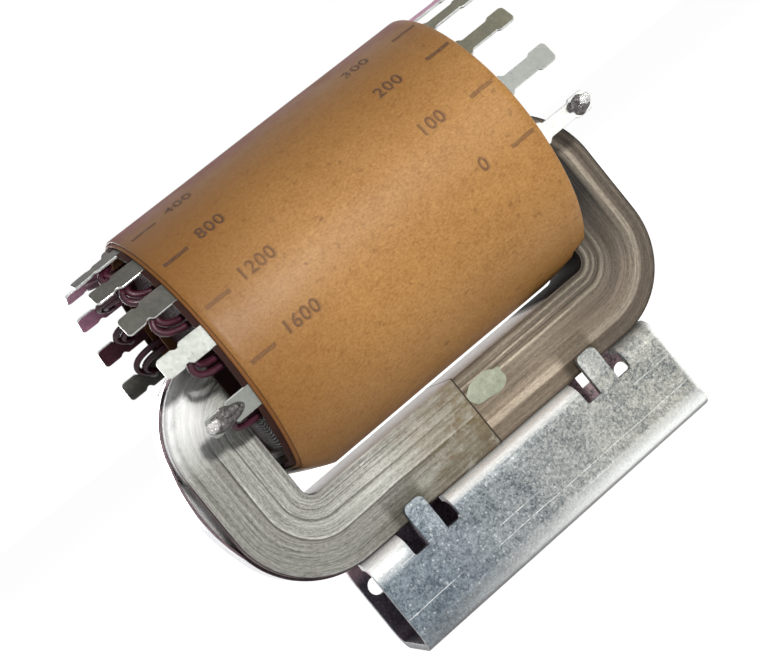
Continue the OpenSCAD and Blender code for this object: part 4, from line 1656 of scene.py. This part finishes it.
@dataclass
class StripCore:
    """The two halves of the cut core, their shims, the band and its seal."""

    looks: Looks
    band_edge: float = 0.06 * MM

    def build(self) -> None:
        """Builds and dresses the core."""
        left = CoreHalf(Side.LEFT, "core_half_left", "wound_strip_left", GROUND_RELIEF, BACK_RELIEF)
        right = CoreHalf(Side.RIGHT, "core_half_right", "wound_strip_right", DULL_RELIEF, BACK_RELIEF)
        dress(left.build(), self.looks[Look.CORE_LEFT])
        dress(right.build(), self.looks[Look.CORE_RIGHT])
        for node in ("gap_shim_lower", "gap_shim_upper"):
            repaint(node, self.looks[Look.SHIM])
        dress(GlueDab().build(), self.looks[Look.GLUE])
        for node, name in (("core_band", "steel_band"), ("band_seal", "pressed_seal")):
            piece = edged_copy(node, name, self.band_edge)
            self.mark_inside(piece)
            dress(piece, self.looks[Look.BAND], self.looks[Look.BAND_INSIDE])

    @staticmethod
    def mark_inside(piece: Piece) -> None:
        """Marks the faces that don't look away from the middle of the core, which get painted shade with a
        painted pink reflection.
        """
        low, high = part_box("core_band")
        middle = np.array([(low.x + high.x) / 2, 0.0, (low.z + high.z) / 2])
        count = len(piece.data.polygons)
        normals, centres = np.empty(count * 3), np.empty(count * 3)
        piece.data.polygons.foreach_get("normal", normals)
        piece.data.polygons.foreach_get("center", centres)
        away = (centres.reshape(-1, 3) - middle) * [1, 0, 1]
        away /= np.linalg.norm(away, axis=1, keepdims=True)
        outside = (normals.reshape(-1, 3) * away).sum(axis=1) > 0.4
        piece.data.polygons.foreach_set("material_index", (~outside).astype(np.int32))


@dataclass
class ClipBracket:
    """The folded channel that clips over the lower leg."""

    looks: Looks
    edge: float = 0.10 * MM

    def build(self) -> None:
        """Builds and dresses the bracket."""
        piece = edged_copy("mounting_bracket", "folded_channel", self.edge)
        dress(piece, self.looks[Look.BRACKET])


# ---------------------------------------------------------------------------------------------
# Studio
# ---------------------------------------------------------------------------------------------


@dataclass
class Studio:
    """Camera, lamps, world and floor."""

    looks: Looks
    eye: Spot = (-0.0595, -0.2235, 0.0430)
    aim: Spot = (-0.00085, 0.0, 0.03326)
    roll_deg: float = -39.05
    lens: float = 85.73
    shift: Span = (0.0060, -0.0076)
    ambient: float = 0.10
    floor_half: float = 6.0
    soft_white: Rgb = (1.0, 0.99, 0.97)

    def axes(self) -> tuple[Vector, Vector, Vector]:
        """The camera's right, up and forward directions."""
        ahead = (Vector(self.aim) - Vector(self.eye)).normalized()
        level = ahead.cross(Vector((0, 0, 1))).normalized()
        above = level.cross(ahead)
        roll = math.radians(self.roll_deg)
        right = math.cos(roll) * level + math.sin(roll) * above
        return right, right.cross(ahead), ahead

    def camera(self) -> None:
        """A long lens at the eye point, rolled about its view axis."""
        data = bpy.data.cameras.new("camera")
        data.lens = self.lens
        data.sensor_width = 36.0
        data.shift_x, data.shift_y = self.shift
        data.clip_start = 0.01
        data.clip_end = 20.0
        right, up, ahead = self.axes()
        turn = Matrix((right, up, -ahead)).transposed().to_4x4()
        camera = linked("camera", data)
        camera.matrix_world = Matrix.Translation(self.eye) @ turn
        bpy.context.scene.camera = camera

    def lamp(self, name: str, direction: Vector, distance: float, size: float, power: float,
             color: Rgb) -> None:
        """A square lamp that looks at the aim point.

        Args:
            name: The lamp's name.
            direction: From the aim point towards the lamp.
            distance: How far away it is.
            size: Length of its side.
            power: Its power in watts.
            color: Its colour.
        """
        data = bpy.data.lights.new(name, "AREA")
        data.size = size
        data.energy = power
        data.color = color
        spot = Vector(self.aim) + direction.normalized() * distance
        turn = direction.to_track_quat("Z", "Y").to_matrix().to_4x4()
        linked(name, data).matrix_world = Matrix.Translation(spot) @ turn

    def lamps(self) -> None:
        """A small key over the lens, weak lamps below and above it, and two soft ones behind."""
        right, up, ahead = self.axes()
        self.lamp("key", -ahead + up * 0.30 + right * 0.11, 0.75, 0.05, 4.7, (1.0, 0.985, 0.95))
        self.lamp("low_fill", -ahead - up * 0.55 + right * 0.45, 0.9, 0.5, 0.5, self.soft_white)
        self.lamp("fold_light", Vector((0.25, -0.62, 0.74)), 0.9, 0.12, 0.35, (0.97, 0.99, 1.0))
        self.lamp("rear", Vector((-0.2, 1.0, 0.16)), 0.9, 0.4, 3.0, self.soft_white)
        self.lamp("rear_side", Vector((0.95, 0.5, 0.22)), 0.9, 0.4, 2.4, self.soft_white)

    def world(self) -> None:
        """Plain white for camera, glossy and transmission rays, and a softer level for light."""
        world = bpy.data.worlds.new("world")
        bpy.context.scene.world = world
        world.use_nodes = True
        g = Graph(world.node_tree)
        level = g.between(g.seen_directly(), self.ambient, 1.0)
        sky = g.add("ShaderNodeBackground", {"Color": rgba((1.0, 1.0, 1.0)), "Strength": level})
        g.add("ShaderNodeOutputWorld", {"Surface": sky.outputs[0]})

    def floor(self) -> None:
        """A wide plain floor under the bracket's foot."""
        half, low = self.floor_half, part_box("mounting_bracket")[0].z
        points = np.array([[-half, -half, low], [half, -half, low], [half, half, low], [-half, half, low]])
        floor = make_piece("floor", points, np.array([[0, 1, 2, 3]]))
        floor.data.materials.append(self.looks[Look.FLOOR])

    def build(self) -> None:
        """Sets the stage."""
        self.camera()
        self.lamps()
        self.world()
        self.floor()
        bpy.context.scene.view_settings.view_transform = "Standard"


def main() -> None:
    """Builds every sub-assembly in order."""
    logging.basicConfig(level=logging.INFO, format="%(name)s: %(message)s")
    looks = make_looks()
    StripCore(looks).build()
    ClipBracket(looks).build()
    Coil(looks).build()
    TagSet(looks).build()
    Studio(looks).build()


if __name__ == "__main__":
    main()
